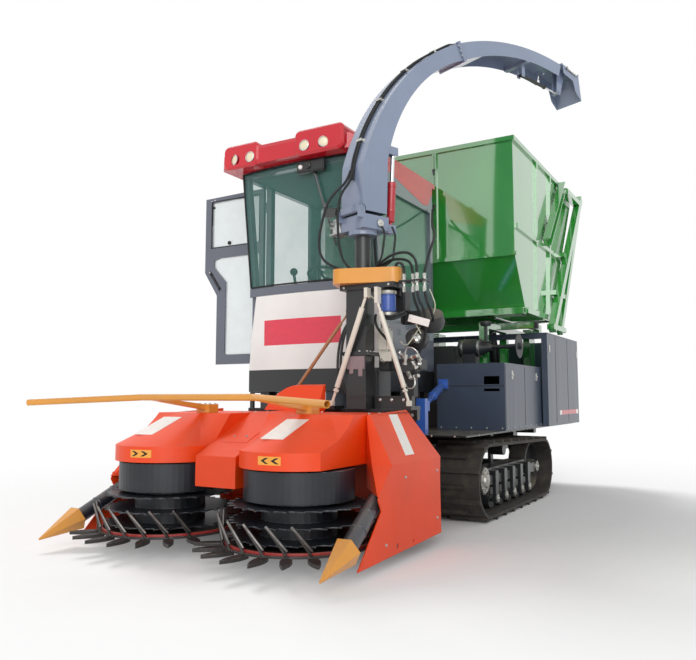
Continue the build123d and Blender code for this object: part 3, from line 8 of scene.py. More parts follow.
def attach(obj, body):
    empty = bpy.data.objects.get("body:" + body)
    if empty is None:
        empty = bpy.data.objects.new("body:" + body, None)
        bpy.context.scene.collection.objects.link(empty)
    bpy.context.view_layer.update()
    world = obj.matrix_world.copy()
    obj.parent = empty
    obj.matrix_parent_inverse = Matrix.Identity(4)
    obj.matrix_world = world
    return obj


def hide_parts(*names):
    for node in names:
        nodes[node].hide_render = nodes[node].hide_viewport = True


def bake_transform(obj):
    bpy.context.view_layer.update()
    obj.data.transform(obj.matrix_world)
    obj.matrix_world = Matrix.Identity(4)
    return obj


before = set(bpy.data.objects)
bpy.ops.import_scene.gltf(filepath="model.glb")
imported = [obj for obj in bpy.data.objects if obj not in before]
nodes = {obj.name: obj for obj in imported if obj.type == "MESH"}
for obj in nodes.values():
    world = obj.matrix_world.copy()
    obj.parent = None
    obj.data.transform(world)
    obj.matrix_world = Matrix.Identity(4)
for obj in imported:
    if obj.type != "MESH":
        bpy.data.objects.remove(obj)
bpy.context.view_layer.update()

# ---- camera, light and floor ----------------------------------------------------------------
# A low view over the machine's front left corner, under a wide white sky with two soft lamps.
# The floor is pale concrete paint that keeps the machine's shadow and fades to white far off.
camera = bpy.data.objects.new("camera", bpy.data.cameras.new("camera"))
camera.location = (3.081, -6.552, 1.022)
camera.rotation_euler = (radians(95.386), 0, radians(30.08))
camera.data.lens = 36.76
camera.data.sensor_width = 36
bpy.context.scene.collection.objects.link(camera)
bpy.context.scene.camera = camera
bpy.context.scene.view_settings.view_transform = "Standard"


def fill(tree, node, inputs):
    """Sets the inputs of a node, or links those that are given a socket."""
    for name, value in inputs.items():
        if isinstance(value, bpy.types.NodeSocket):
            tree.links.new(value, node.inputs[name])
        else:
            node.inputs[name].default_value = value


def add(tree, kind, inputs=None, **settings):
    """A shader node of one kind, with its settings and its inputs."""
    made = tree.nodes.new("ShaderNode" + kind)
    for name, value in settings.items():
        setattr(made, name, value)
    fill(tree, made, inputs or {})
    return made


def srgb(code, level=1.0):
    """A hex colour as linear numbers, made lighter or darker by level."""
    parts = [int(code[n:n + 2], 16) / 255 for n in (1, 3, 5)]
    linear = [c / 12.92 if c <= 0.04045 else ((c + 0.055) / 1.055) ** 2.4 for c in parts]
    return (*[min(1.0, c * level) for c in linear], 1.0)


sky = bpy.data.worlds.new("white_sky")
sky.use_nodes = True
bpy.context.scene.world = sky
tree = sky.node_tree
path = add(tree, "LightPath")
seen = add(tree, "Math", {0: path.outputs["Is Camera Ray"], 1: path.outputs["Is Glossy Ray"]},
    operation="MAXIMUM")
seen = add(tree, "Math", {0: seen.outputs[0], 1: path.outputs["Is Transmission Ray"]}, operation="MAXIMUM")
level = add(tree, "MapRange", {"Value": seen.outputs[0], "To Min": 0.42, "To Max": 1.0})
fill(tree, tree.nodes["Background"], {"Strength": level.outputs[0], "Color": (1, 1, 1, 1)})

lamps = (                                                       # name, strength, spread, direction
    ("soft_lamp", 1.5, 45, (-0.45, 0.8, -0.38)),
    ("rear_lamp", 1.9, 22, (0.6, -0.36, -0.7)),
)
for name, strength, spread, way in lamps:
    lamp = bpy.data.objects.new(name, bpy.data.lights.new(name, "SUN"))
    lamp.data.energy = strength
    lamp.data.angle = radians(spread)
    lamp.rotation_euler = Vector(way).to_track_quat("-Z", "Y").to_euler()
    lamp.visible_glossy = name == "soft_lamp"
    bpy.context.scene.collection.objects.link(lamp)

FLOOR_HALF, SHADOW_REACH = 40, 6.5
floor_mesh = bpy.data.meshes.new("floor")
corners = [(x * FLOOR_HALF, y * FLOOR_HALF, -0.0005) for x, y in ((-1, -1), (1, -1), (1, 1), (-1, 1))]
floor_mesh.from_pydata(corners, [], [(0, 1, 2, 3)])
floor = bpy.data.objects.new("floor", floor_mesh)
bpy.context.scene.collection.objects.link(floor)
paint = bpy.data.materials.new("pale_floor_paint")
paint.use_nodes = True
tree = paint.node_tree
spot = add(tree, "TexCoord").outputs["Object"]
distance = add(tree, "VectorMath", {0: spot}, operation="LENGTH")
far = add(tree, "MapRange", {"Value": distance.outputs["Value"], "From Min": 2.0, "From Max": SHADOW_REACH})
grain = add(tree, "TexNoise", {"Vector": spot, "Scale": 9.0, "Detail": 4.0})
tone = add(tree, "Mix", {0: grain.outputs["Fac"], 6: srgb("#f3f3f3"), 7: srgb("#f9f9f8")}, data_type="RGBA")
matt = add(tree, "BsdfDiffuse", {"Color": tone.outputs[2]})
white = add(tree, "Emission", {"Strength": 1.0})
path = add(tree, "LightPath")
show = add(tree, "Math", {0: path.outputs["Is Camera Ray"], 1: path.outputs["Is Glossy Ray"]},
    operation="MAXIMUM")
show = add(tree, "Math", {0: show.outputs[0], 1: far.outputs[0]}, operation="MULTIPLY")
mixed = add(tree, "MixShader", {0: show.outputs[0], 1: matt.outputs[0], 2: white.outputs[0]})
tree.links.new(mixed.outputs[0], tree.nodes["Material Output"].inputs["Surface"])
floor_mesh.materials.append(paint)

# ---- crawler tracks -------------------------------------------------------------------------
# Moulded rubber belts over cast wheels.  Steel cores show as dark slots down the belt's middle,
# and each roller is closed by a turned cap on the outer side.


def surface(name):
    """A new material with its tree, its shader and the object's own coordinates."""
    made = bpy.data.materials.new(name)
    made.use_nodes = True
    return made, made.node_tree, made.node_tree.nodes["Principled BSDF"], add(made.node_tree, "TexCoord")


def speckle(tree, place, scale, detail=2.0, low=0.4, high=0.6):
    """Noise of one scale per metre, stretched to run from 0 to 1 between two of its levels."""
    noise = add(tree, "TexNoise", {"Vector": place, "Scale": scale, "Detail": detail})
    return add(tree, "MapRange",
        {"Value": noise.outputs["Fac"], "From Min": low, "From Max": high}).outputs[0]


def blend_colour(tree, share, first, second):
    """The mix of two colours, each a value or a socket, by a share."""
    return add(tree, "Mix", {0: share, 6: first, 7: second}, data_type="RGBA").outputs[2]


def product(tree, first, second):
    """The product of two numbers, each a value or a socket."""
    return add(tree, "Math", {0: first, 1: second}, operation="MULTIPLY").outputs[0]


def worn_edges(tree, radius, samples, sound, bare, patches):
    """The rounded normal at edges, and how far an edge is rubbed bare in patches."""
    edge = add(tree, "Bevel", {"Radius": radius}, samples=samples).outputs[0]
    flat = add(tree, "NewGeometry").outputs["Normal"]
    bent = add(tree, "VectorMath", {0: edge, 1: flat}, operation="DOT_PRODUCT").outputs["Value"]
    rubbed = add(tree, "MapRange", {"Value": bent, "From Min": sound, "From Max": bare}).outputs[0]
    return edge, product(tree, rubbed, patches)


def moulded_rubber(name, colour, mud):
    """Carbon black rubber: matt, gritty, with dry mud in patches."""
    made, tree, shader, place = surface(name)
    grit = speckle(tree, place.outputs["Object"], 350.0)        # 3 mm grit
    patches = speckle(tree, place.outputs["Object"], 14.0, 6.0, 0.45, 0.7)
    colours = blend_colour(tree, grit, srgb(colour, 0.8), srgb(colour, 1.25))
    bump = add(tree, "Bump", {"Height": grit, "Strength": 0.35, "Distance": 0.001})
    fill(tree, shader, {"Base Color": blend_colour(tree, patches, colours, srgb(mud)), "Roughness": 0.72,
                        "Normal": bump.outputs[0]})
    return made


def painted(name, colour, roughness=0.32, gloss=0.4, dust=0.25, ripple=0.0, worn="#8f8f8c", chips=0.5,
        coat_ior=1.5):
    """Sprayed enamel on steel: orange peel, slow tone drift, settled dust and rubbed edges.

    ripple is how much the sheet waves between its welds, and shows only in what it mirrors.
    coat_ior is how strongly the clear coat mirrors.
    """
    made, tree, shader, place = surface(name)
    here = place.outputs["Object"]
    drift = speckle(tree, here, 1.8, 3.0, 0.3, 0.7)
    tone = blend_colour(tree, drift, srgb(colour, 0.92), srgb(colour, 1.08))
    facing = add(tree, "SeparateXYZ", {0: place.outputs["Normal"]})
    upward = add(tree, "MapRange", {"Value": facing.outputs["Z"], "From Min": 0.2, "From Max": 1.0})
    settled = product(tree, upward.outputs[0], speckle(tree, here, 6.0, 6.0, 0.3, 0.75))
    settled = product(tree, settled, dust)
    tone = blend_colour(tree, settled, tone, srgb("#b9ad98"))
    edge, rubbed = worn_edges(tree, 0.004, 4, 0.985, 0.86, speckle(tree, here, 45.0, 4.0, 0.5, 0.62))
    rubbed = product(tree, rubbed, chips)
    rough = add(tree, "Math", {0: settled, 1: 0.9, 2: roughness}, operation="MULTIPLY_ADD")
    peel = speckle(tree, here, 260.0, 1.0, 0.2, 0.8)            # 4 mm orange peel
    bump = add(tree, "Bump", {"Height": peel, "Strength": 0.05, "Distance": 0.0006, "Normal": edge})
    if ripple:
        wave = add(tree, "Mapping", {"Vector": here, "Scale": (5.0, 5.0, 1.1)})
        wave = speckle(tree, wave.outputs[0], 1.0, 2.0, 0.2, 0.8)
        bump = add(tree, "Bump", {"Height": wave, "Strength": ripple, "Distance": 0.02,
            "Normal": bump.outputs[0]})
    fill(tree, shader, {"Base Color": blend_colour(tree, rubbed, tone, srgb(worn)),
                        "Roughness": rough.outputs[0], "Normal": bump.outputs[0],
                        "Coat Weight": gloss, "Coat Roughness": 0.06, "Coat IOR": coat_ior})
    return made


def metal(name, colour, roughness, stain="#5a5550", stained=0.3, lines=0.0):
    """Bare or plated metal with fingermarks of oil; lines gives the rings that a lathe leaves."""
    made, tree, shader, place = surface(name)
    here = place.outputs["Object"]
    oil = speckle(tree, here, 22.0, 5.0, 0.45, 0.75)
    tone = blend_colour(tree, product(tree, oil, stained), srgb(colour), srgb(stain))
    rough = add(tree, "Math", {0: oil, 1: 0.18, 2: roughness}, operation="MULTIPLY_ADD")
    cut = speckle(tree, here, 500.0, 1.0)
    bump = add(tree, "Bump", {"Height": cut, "Strength": 0.08 + lines, "Distance": 0.0003})
    fill(tree, shader, {"Base Color": tone, "Roughness": rough.outputs[0], "Normal": bump.outputs[0],
                        "Metallic": 1.0})
    return made


def dress(material, *names):
    """Gives parts a material, with their round faces shaded smooth."""
    for name in names:
        mesh = nodes[name].data
        mesh.materials.clear()
        mesh.materials.append(material)
        mesh.shade_smooth()
        mesh.set_sharp_from_angle(angle=radians(30))


def piece(name, form, material, body="chassis", smooth=32):
    """A mesh made from a bmesh, in place, riding on its body."""
    bmesh.ops.recalc_face_normals(form, faces=form.faces[:])
    mesh = bpy.data.meshes.new(name)
    form.to_mesh(mesh)
    form.free()
    mesh.materials.append(material)
    mesh.shade_smooth()
    mesh.set_sharp_from_angle(angle=radians(smooth))
    made = bpy.data.objects.new(name, mesh)
    bpy.context.scene.collection.objects.link(made)
    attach(made, body)
    return made


def turned(form, profile, place, sides=24):
    """A lathe-turned shape: (radius, height) down its own Z axis, set in place."""
    rings = []
    for radius, height in profile:
        angles = [2 * pi * n / sides for n in range(sides)]
        rings.append([form.verts.new(place @ Vector((radius * cos(a), radius * sin(a), height)))
            for a in angles])
    for low, high in zip(rings, rings[1:]):
        for n in range(sides):
            form.faces.new((low[n], low[(n + 1) % sides], high[(n + 1) % sides], high[n]))
    form.faces.new(rings[0])
    form.faces.new(rings[-1])


def standing(point, along):
    """A place at a point whose Z axis runs along a direction."""
    return Matrix.Translation(point) @ Vector(along).to_track_quat("Z", "Y").to_matrix().to_4x4()


def bolts(form, points, out, size=0.013):
    """Hexagon heads on washers at some points of a face, all looking out of it."""
    for point in points:
        place = standing(point, out)
        turned(form, [(size * 1.1, 0), (size * 1.1, size * 0.2), (size * 1.0, size * 0.22)], place, 16)
        turned(form, [(size * 0.87, size * 0.2), (size * 0.87, size * 0.8), (size * 0.76, size * 0.92)],
            place, 6)


def slab(form, low, high, edge=0.002, place=None, rounds=2):
    """A plate or bar between two corners with its edges broken."""
    made = bmesh.ops.create_cube(form, size=1.0)["verts"]
    middle, size = (Vector(low) + Vector(high)) / 2, Vector(high) - Vector(low)
    for v in made:
        v.co = Vector([m + c * s for m, c, s in zip(middle, v.co, size)])
        if place is not None:
            v.co = place @ v.co
    edges = list({e for v in made for e in v.link_edges})
    if edge:
        bmesh.ops.bevel(form, geom=edges, offset=edge, segments=rounds, affect="EDGES")


rubber = moulded_rubber("moulded_track_rubber", "#26231f", "#3b342b")
dress(rubber, "track_left", "track_right")
cast = painted("painted_casting", "#2a2b2c", 0.5, 0.1, 0.5, worn="#77726b")
dress(cast, "drive_sprockets", "idler_wheels")
frame_black = painted("semi_gloss_black", "#1e2022", 0.38, 0.25, 0.35)
dress(frame_black, "track_frames")

SPROCKET, IDLER = (-0.8, 0.33), (0.885, 0.31)                   # Y and Z of the wheels' middles
BELT_OUT = 0.024                                                # the belt's outer face over its lugs' foot
TRACK_X, CORE_COUNT = 0.895, 44


def belt_line(steps):
    """Points and outward directions at even steps round the belt's outer face."""
    (y0, z0), (y1, z1) = SPROCKET, IDLER
    r0, r1 = z0 - BELT_OUT, z1 - BELT_OUT
    lean = atan2(z1 - z0, y1 - y0)
    spread = (r0 - r1) / hypot(y1 - y0, z1 - z0)
    up, down = lean + pi / 2 - spread, lean - pi / 2 + spread
    turn = 24
    corner = [(y1, z1, r1, up + (down - up) * n / turn) for n in range(turn + 1)]
    corner += [(y0, z0, r0, down + (up - 2 * pi - down) * n / turn) for n in range(turn + 1)]
    line = [(y + r * cos(a), z + r * sin(a)) for y, z, r, a in corner]
    line.append(line[0])
    lengths = [hypot(b[0] - a[0], b[1] - a[1]) for a, b in zip(line, line[1:])]
    total, found = sum(lengths), []
    for n in range(steps):
        want = total * (n + 0.5) / steps
        k = 0
        while want > lengths[k]:
            want -= lengths[k]
            k += 1
        a, b = line[k], line[k + 1]
        share = want / lengths[k]
        along = ((b[0] - a[0]) / lengths[k], (b[1] - a[1]) / lengths[k])
        found.append((a[0] + (b[0] - a[0]) * share, a[1] + (b[1] - a[1]) * share, *along))
    return found


cores = bmesh.new()
for side in (-1, 1):
    for y, z, along_y, along_z in belt_line(CORE_COUNT):
        out = Vector((0, -along_z, along_y))
        middle = Vector((side * TRACK_X, y, z))
        turn = Matrix((Vector((1, 0, 0)), Vector((0, along_y, along_z)), out)).transposed().to_4x4()
        place = Matrix.Translation(middle) @ turn
        for x in (-0.036, 0.036):
            slab(cores, (x - 0.022, -0.011, -0.004), (x + 0.022, 0.011, 0.0012), 0.001, place, 1)
core_steel = metal("worn_core_steel", "#4b4743", 0.45, "#221f1c", 0.8)
piece("track_cores", cores, core_steel)

ROLLER_Z, ROLLER_FACE = 0.1425, 1.045
caps = bmesh.new()
for side in (-1, 1):
    for n in range(5):
        hub = standing((side * ROLLER_FACE, -0.43 + n * 0.2475, ROLLER_Z), (side, 0, 0))
        turned(caps, [(0.036, 0), (0.036, 0.007), (0.03, 0.011), (0.014, 0.011), (0.012, 0.016)], hub)
        for k in range(4):
            a = pi / 4 + k * pi / 2
            bolts(caps, [hub @ Vector((0.026 * cos(a), 0.026 * sin(a), 0.009))], (side, 0, 0), 0.005)
    hub = standing((side * 1.0265, *IDLER), (side, 0, 0))
    turned(caps, [(0.055, 0), (0.055, 0.012), (0.045, 0.018), (0.02, 0.018), (0.018, 0.026)], hub)
    hub = standing((side * 1.06, *SPROCKET), (side, 0, 0))
    turned(caps, [(0.105, -0.004), (0.105, 0.008), (0.06, 0.014), (0.05, 0.03), (0.02, 0.034)], hub, 36)
    for k in range(8):
        a = k * pi / 4
        bolts(caps, [hub @ Vector((0.085 * cos(a), 0.085 * sin(a), 0.008))], (side, 0, 0), 0.01)
cap_steel = metal("dull_zinc_plate", "#a9a8a2", 0.42, "#5d5346", 0.6)
piece("wheel_caps", caps, cap_steel)

# ---- chassis, deck and what stands on it ----------------------------------------------------
# Welded steel in black enamel.  The deck has bolted seams, and the engine is a casting.
dress(frame_black, "chassis_frame", "deck", "tow_hitch", "crop_housing")
dress(cast, "engine", "valve_block")
box_blue = painted("blue_grey_gloss", "#3d4757", 0.32, 0.05, 0.15, 0.15)
dress(box_blue, "left_side_box", "fuel_tank", "rear_housing")
zinc = metal("bright_zinc", "#c9c9c4", 0.3, "#77736a", 0.35)

fixings = bmesh.new()
bolts(fixings, [(x, -1.692, 0.885) for x in (-0.68, -0.5, 0.5, 0.68, 0.82)], (0, -1, 0), 0.012)
bolts(fixings, [(x, -1.652, 1.0) for x in (0.53, 0.63, 0.73)], (0, -1, 0), 0.011)
bolts(fixings, [(x, -1.182, 0.707) for x in (-0.9, -0.6, -0.3, 0.55, 0.75, 0.95)], (0, -1, 0), 0.009)
for side in (-1, 1):
    for y in (-0.9, -0.5, 0.0, 0.5, 0.9, 1.4, 1.9, 2.3):
        bolts(fixings, [(side * 1.051, y, 0.707)], (side, 0, 0), 0.006)
piece("deck_bolts", fixings, zinc)

# ---- cutter header --------------------------------------------------------------------------
# Folded and welded sheet, powder coated orange-red.  The covers carry bolted feet, a hatch and
# blank plates, and the drums under them are black with teeth that the crop has scoured.
orange = painted("orange_red_powder_coat", "#ea4408", 0.42, 0.03, 0.05, 0.1, "#c9896f", 0.35)
dress(orange, "header_frame", "drum_covers", "centre_nose", "side_panels", "header_hood")
deep_red = painted("red_ring_enamel", "#a32a26", 0.35, 0.3, 0.5)
dress(deep_red, "floor_rings")
yellow = painted("yellow_orange_enamel", "#dc9638", 0.34, 0.35, 0.15)
dress(yellow, "divider_tips", "push_bar", "ring_guard")
tube_black = painted("satin_black_tube", "#262833", 0.3, 0.45, 0.25)
dress(tube_black, "divider_tubes")


def scoured(name, colour, bright, edge_low, edge_high):
    """Black enamel that straw has worn to steel along thin edges."""
    made, tree, shader, place = surface(name)
    here = place.outputs["Object"]
    patches = speckle(tree, here, 30.0, 4.0, 0.4, 0.6)
    edge, rubbed = worn_edges(tree, 0.006, 6, edge_high, edge_low, patches)
    smear = speckle(tree, here, 5.0, 5.0, 0.35, 0.7)
    tone = blend_colour(tree, smear, srgb(colour, 0.8), srgb(colour, 1.5))
    pits = speckle(tree, here, 180.0)
    bump = add(tree, "Bump", {"Height": pits, "Strength": 0.15, "Distance": 0.0006, "Normal": edge})
    fill(tree, shader, {"Base Color": blend_colour(tree, rubbed, tone, srgb(bright)), "Roughness": 0.42,
                        "Metallic": product(tree, rubbed, 0.7), "Normal": bump.outputs[0]})
    return made


dress(scoured("scoured_drum_enamel", "#1b1e24", "#9a9c9e", 0.8, 0.99), "rotor_left", "rotor_right")
dress(scoured("scoured_floor_steel", "#2a2725", "#8d8a84", 0.75, 0.98), "header_floor")

# Guard rods over the floor's fingers: bare cold-drawn steel that stays bright from the crop.
ROTOR_X, ROTOR_Y = 0.545, -2.78
rods = bmesh.new()
for side in (-1, 1):
    for n in range(10):
        a, b = radians(-166 + 17 * n), radians(-180 + 17 * n)
        if side * cos(a) > 0.85 or side * cos(a) < -0.9:
            continue
        foot = Vector((side * ROTOR_X + 0.474 * cos(a), ROTOR_Y + 0.474 * sin(a), 0.159))
        head = Vector((side * ROTOR_X + 0.505 * cos(b), ROTOR_Y + 0.505 * sin(b), 0.3))
        run = (head - foot).length
        turned(rods, [(0.0089, 0.004), (0.0092, 0.01), (0.0092, run + 0.001), (0.006, run + 0.004)],
            standing(foot, head - foot), 16)
drawn = metal("cold_drawn_rod", "#7d7a78", 0.38, "#3a3330", 0.6)
piece("guard_rod_sleeves", rods, drawn, "header")

# Welded seams round the divider tubes.
seams = bmesh.new()
for side in (-1, 1):
    start, end = Vector((side * 1.034, -2.664, 0.411)), Vector((side * 1.085, -3.122, 0.184))
    for share in (0.36, 0.66):
        ring = standing(start.lerp(end, share), end - start)
        turned(seams, [(0.0495, -0.006), (0.0525, -0.003), (0.0535, 0), (0.0525, 0.003), (0.0495, 0.006)],
            ring, 36)
piece("divider_seams", seams, tube_black, "header")

# Bolts of the covers, the hatch on the nose and the push bar's feet.
header_bolts = bmesh.new()
for side in (-1, 1):
    for x in (-0.048, 0.048):
        for y in (-2.56, -2.5):
            bolts(header_bolts, [(side * 0.44 + x, y, 0.97)], (0, 0, 1), 0.01)
    for y in (-2.35, -2.2, -2.05):
        bolts(header_bolts, [(side * 0.25, y, 0.908), (side * 0.81, y, 0.908)], (0, 0, 1), 0.009)
    panel_bolts = ((-1.95, 0.52), (-1.95, 0.2), (-2.45, 0.52), (-2.72, 0.15))
    bolts(header_bolts, [(side * 1.1205, y, z) for y, z in panel_bolts], (side, 0, 0), 0.009)
    bolts(header_bolts, [(side * x, -1.89, z) for x in (0.4, 0.6, 0.8) for z in (0.84, 0.18)], (0, -1, 0),
        0.011)
hatch_out = Vector((0, -0.416, 0.909))
bolts(header_bolts, [(x, -2.7, 0.7555) for x in (-0.045, 0.06)], hatch_out, 0.008)
piece("header_bolts", header_bolts, zinc, "header")

hatch = bmesh.new()
slope = Matrix((Vector((1, 0, 0)), Vector((0, 0.909, 0.416)), hatch_out)).transposed().to_4x4()
slab(hatch, (-0.11, -0.085, -0.001), (0.12, 0.085, 0.0025), 0.0012,
    Matrix.Translation((0, -2.7, 0.7545)) @ slope)
piece("nose_hatch", hatch, orange, "header")


# Blank data and safety plates: printed film on the covers, left plain, and the yellow row
# arrows with black chevrons that show which way the rotors pull.
def printed_film(name, colour, gloss=0.3):
    """Vinyl film: smooth and faintly wavy where it was rubbed down."""
    made, tree, shader, place = surface(name)
    rub = speckle(tree, place.outputs["Object"], 25.0, 3.0, 0.3, 0.7)
    bump = add(tree, "Bump", {"Height": rub, "Strength": 0.1, "Distance": 0.0008})
    fill(tree, shader, {"Base Color": blend_colour(tree, rub, srgb(colour, 0.95), srgb(colour, 1.03)),
                        "Normal": bump.outputs[0], "Roughness": 0.38, "Coat Weight": gloss})
    return made


def film(form, corners, lift):
    """A thin sheet over four corners in turn, lifted off its face."""
    a, b, c, d = [Vector(p) for p in corners]
    out = (b - a).cross(d - a).normalized()
    top = [p + out * lift for p in (a, b, c, d)]
    rows = [[form.verts.new(p) for p in ring] for ring in ((a, b, c, d), top)]
    form.faces.new(rows[1])
    form.faces.new(rows[0][::-1])
    for n in range(4):
        form.faces.new((rows[0][n], rows[0][(n + 1) % 4], rows[1][(n + 1) % 4], rows[1][n]))


white_film = printed_film("white_vinyl_film", "#f4efe9")
labels = bmesh.new()
roof_point, roof_out = Vector((0.5833, -2.8476, 0.8178)), Vector((0.0, -0.366, 0.931)).normalized()


def on_roof(x, y):
    """A point of the cover's main roof slope."""
    return Vector((x, y, roof_point.z - roof_out.y / roof_out.z * (y - roof_point.y)))


for left, right in ((0.39, 0.56), (-0.7, -0.53)):
    film(labels, [on_roof(left, -2.985), on_roof(right, -2.985), on_roof(right, -2.7), on_roof(left, -2.7)],
        0.0035)
facet = [(0.8745, -2.19, 0.9012), (1.088, -2.375, 0.6483), (1.088, -2.245, 0.6483), (0.8745, -2.06, 0.9012)]
film(labels, facet, 0.0025)
film(labels, [(-x, y, z) for x, y, z in reversed(facet)], 0.0025)
piece("blank_labels", labels, white_film, "header")

COVER_RADIUS = 0.378


def on_band(side, angle, z, lift):
    """A point of a cover's upright band."""
    r = COVER_RADIUS + lift
    return Vector((side * ROTOR_X + r * cos(radians(angle)), ROTOR_Y + r * sin(radians(angle)), z))


def band_patch(form, side, low, high, z0, z1, lift, steps=12):
    """A film wrapped on the band between two angles, low to high."""
    angles = [low + (high - low) * n / steps for n in range(steps + 1)]
    rings = ((z0, 0), (z0, lift), (z1, lift), (z1, 0))
    grid = [[form.verts.new(on_band(side, a, z, h)) for a in angles] for z, h in rings]
    for lower, upper in zip(grid, grid[1:]):
        for n in range(steps):
            form.faces.new((lower[n], lower[n + 1], upper[n + 1], upper[n]))


arrow_yellow = printed_film("yellow_row_film", "#f0a63a")
arrow_black = printed_film("black_row_film", "#1d1a18")
patches, marks = bmesh.new(), bmesh.new()
arrow_rows = ((1, -96.5, -73, -1), (-1, -90, -66, 1))           # side, first and last angle, way it points
for side, first, last, way in arrow_rows:
    band_patch(patches, side, first, last, 0.626, 0.676, 0.0012)
    for share in (0.28, 0.72):
        middle = first + (last - first) * share
        for up in (-1, 1):
            tip, wing = middle + way * 3.2, middle - way * 1.6
            points = [(tip, 0.651), (tip - way * 3.4, 0.651), (wing - way * 3.4, 0.651 + up * 0.017),
                (wing, 0.651 + up * 0.017)]
            marks.faces.new([marks.verts.new(on_band(side, a, z, 0.0022)) for a, z in points])
piece("row_arrow_films", patches, arrow_yellow, "header")
bmesh.ops.solidify(marks, geom=marks.faces[:], thickness=0.0006)
piece("row_arrow_chevrons", marks, arrow_black, "header")

# ---- mast, stays and valve bench ------------------------------------------------------------
# A square column in black enamel with a bolted flange, held by turnbuckle stays.  Beside it hang
# the blue oil filter, the valve bench with its plated fittings, and the hoses that join them.
dress(frame_black, "mast")


def stay_paint():
    """Cream enamel on the two front stays; the one that leans behind the hood is bare copper brown."""
    made = painted("cream_stay_enamel", "#ddd8cb", 0.36, 0.25, 0.2)
    tree = made.node_tree
    shader = tree.nodes["Principled BSDF"]
    place = add(tree, "SeparateXYZ", {0: add(tree, "TexCoord").outputs["Object"]})
    line = add(tree, "Math", {0: place.outputs["Z"], 1: -0.45, 2: place.outputs["X"]},
        operation="MULTIPLY_ADD")
    bare = add(tree, "Math", {0: line.outputs[0], 1: -0.38}, operation="LESS_THAN")
    old = shader.inputs["Base Color"].links[0].from_socket
    tree.links.new(blend_colour(tree, bare.outputs[0], old, srgb("#a5704c")), shader.inputs["Base Color"])
    return made


dress(stay_paint(), "mast_stays")
lift_red = painted("red_cylinder_enamel", "#b51f2c", 0.3, 0.5, 0.1)
dress(frame_black, "header_lift_barrels", "bin_tip_barrels", "flap_cylinder_barrel")
chrome = metal("hard_chrome", "#d9d9dc", 0.12, "#8b8880", 0.15)
dress(chrome, "header_lift_rods", "bin_tip_rods", "flap_cylinder_rod")

flange = bmesh.new()
for x in (0.292, 0.34, 0.42, 0.474):
    bolts(flange, [(x, -1.76 if x < 0.3 or x > 0.47 else -1.782, 1.3705)], (0, 0, 1), 0.01)
bolts(flange, [(x, -1.797, 1.872) for x in (0.29, 0.68)], (0, -1, 0), 0.009)
bolts(flange, [(0.48, y, 1.3705) for y in (-1.72, -1.66)], (0, 0, 1), 0.01)
piece("flange_bolts", flange, zinc)

mast_gusset = bmesh.new()
slab(mast_gusset, (0.305, -1.7795, 1.235), (0.462, -1.7745, 1.337), 0.0015)
slab(mast_gusset, (0.33, -1.783, 1.2), (0.365, -1.7745, 1.3), 0.0015)
slab(mast_gusset, (0.408, -1.783, 1.18), (0.445, -1.7745, 1.3), 0.0015)
primer = painted("bare_primer", "#8d7d80", 0.6, 0.0, 0.3)
piece("mast_gusset", mast_gusset, primer)

blue = painted("blue_filter_enamel", "#2c4f9e", 0.3, 0.5, 0.1)
dress(blue, "cardan_shaft")
filter_can = bmesh.new()
can = standing((0.645, -1.735, 1.665), (0, 0, 1))
turned(filter_can, [(0.052, 0), (0.06, 0.006), (0.061, 0.016), (0.061, 0.122), (0.057, 0.128),
    (0.057, 0.136)], can, 40)
piece("oil_filter", filter_can, blue)
filter_head = bmesh.new()
turned(filter_head, [(0.064, 0.136), (0.066, 0.14), (0.066, 0.162), (0.05, 0.172), (0.03, 0.187)], can, 32)
slab(filter_head, (0.62, -1.76, 1.818), (0.67, -1.71, 1.852), 0.003)
turned(filter_head, [(0.058, -0.034), (0.066, -0.03), (0.066, -0.004), (0.058, 0)], can, 32)
piece("filter_head", filter_head, cap_steel)

bench = bmesh.new()
slab(bench, (0.7, -1.735, 1.893), (0.945, -1.625, 1.905), 0.002)
slab(bench, (0.7, -1.72, 1.855), (0.73, -1.64, 1.893), 0.002)
piece("valve_bench", bench, frame_black)
fittings = bmesh.new()
bench_ports = ((0.765, -1.7), (0.825, -1.67), (0.875, -1.705), (0.915, -1.66))     # X and Y
for x, y in bench_ports:
    up, down = standing((x, y, 1.905), (0, 0, 1)), standing((x, y, 1.893), (0, 0, -1))
    for place, reach in ((up, 1.0), (down, 1.5)):
        turned(fittings, [(0.017, 0), (0.017, 0.012)], place, 6)
        turned(fittings, [(0.011, 0.012), (0.011, 0.022 * reach)], place, 16)
        turned(fittings, [(0.015, 0.022 * reach), (0.015, 0.045 * reach), (0.012, 0.052 * reach)], place, 6)
piece("valve_fittings", fittings, zinc)


def hoses(name, routes, radius, material, body="chassis"):
    """Hydraulic hoses of one size as one mesh, each a smooth line through its own control points."""
    curve = bpy.data.curves.new(name, "CURVE")
    curve.dimensions = "3D"
    curve.bevel_depth = radius
    curve.bevel_resolution = 3
    curve.resolution_u = 10
    curve.use_fill_caps = True
    for route in routes:
        line = curve.splines.new("NURBS")
        line.points.add(len(route) - 1)
        for control, point in zip(line.points, route):
            control.co = (*point, 1)
        line.order_u = 3
        line.use_endpoint_u = True
    source = bpy.data.objects.new(name, curve)
    mesh = bpy.data.meshes.new_from_object(source)
    bpy.data.objects.remove(source)
    mesh.materials.clear()
    mesh.materials.append(material)
    mesh.shade_smooth()
    made = bpy.data.objects.new(name, mesh)
    bpy.context.scene.collection.objects.link(made)
    if body:
        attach(made, body)
    return made


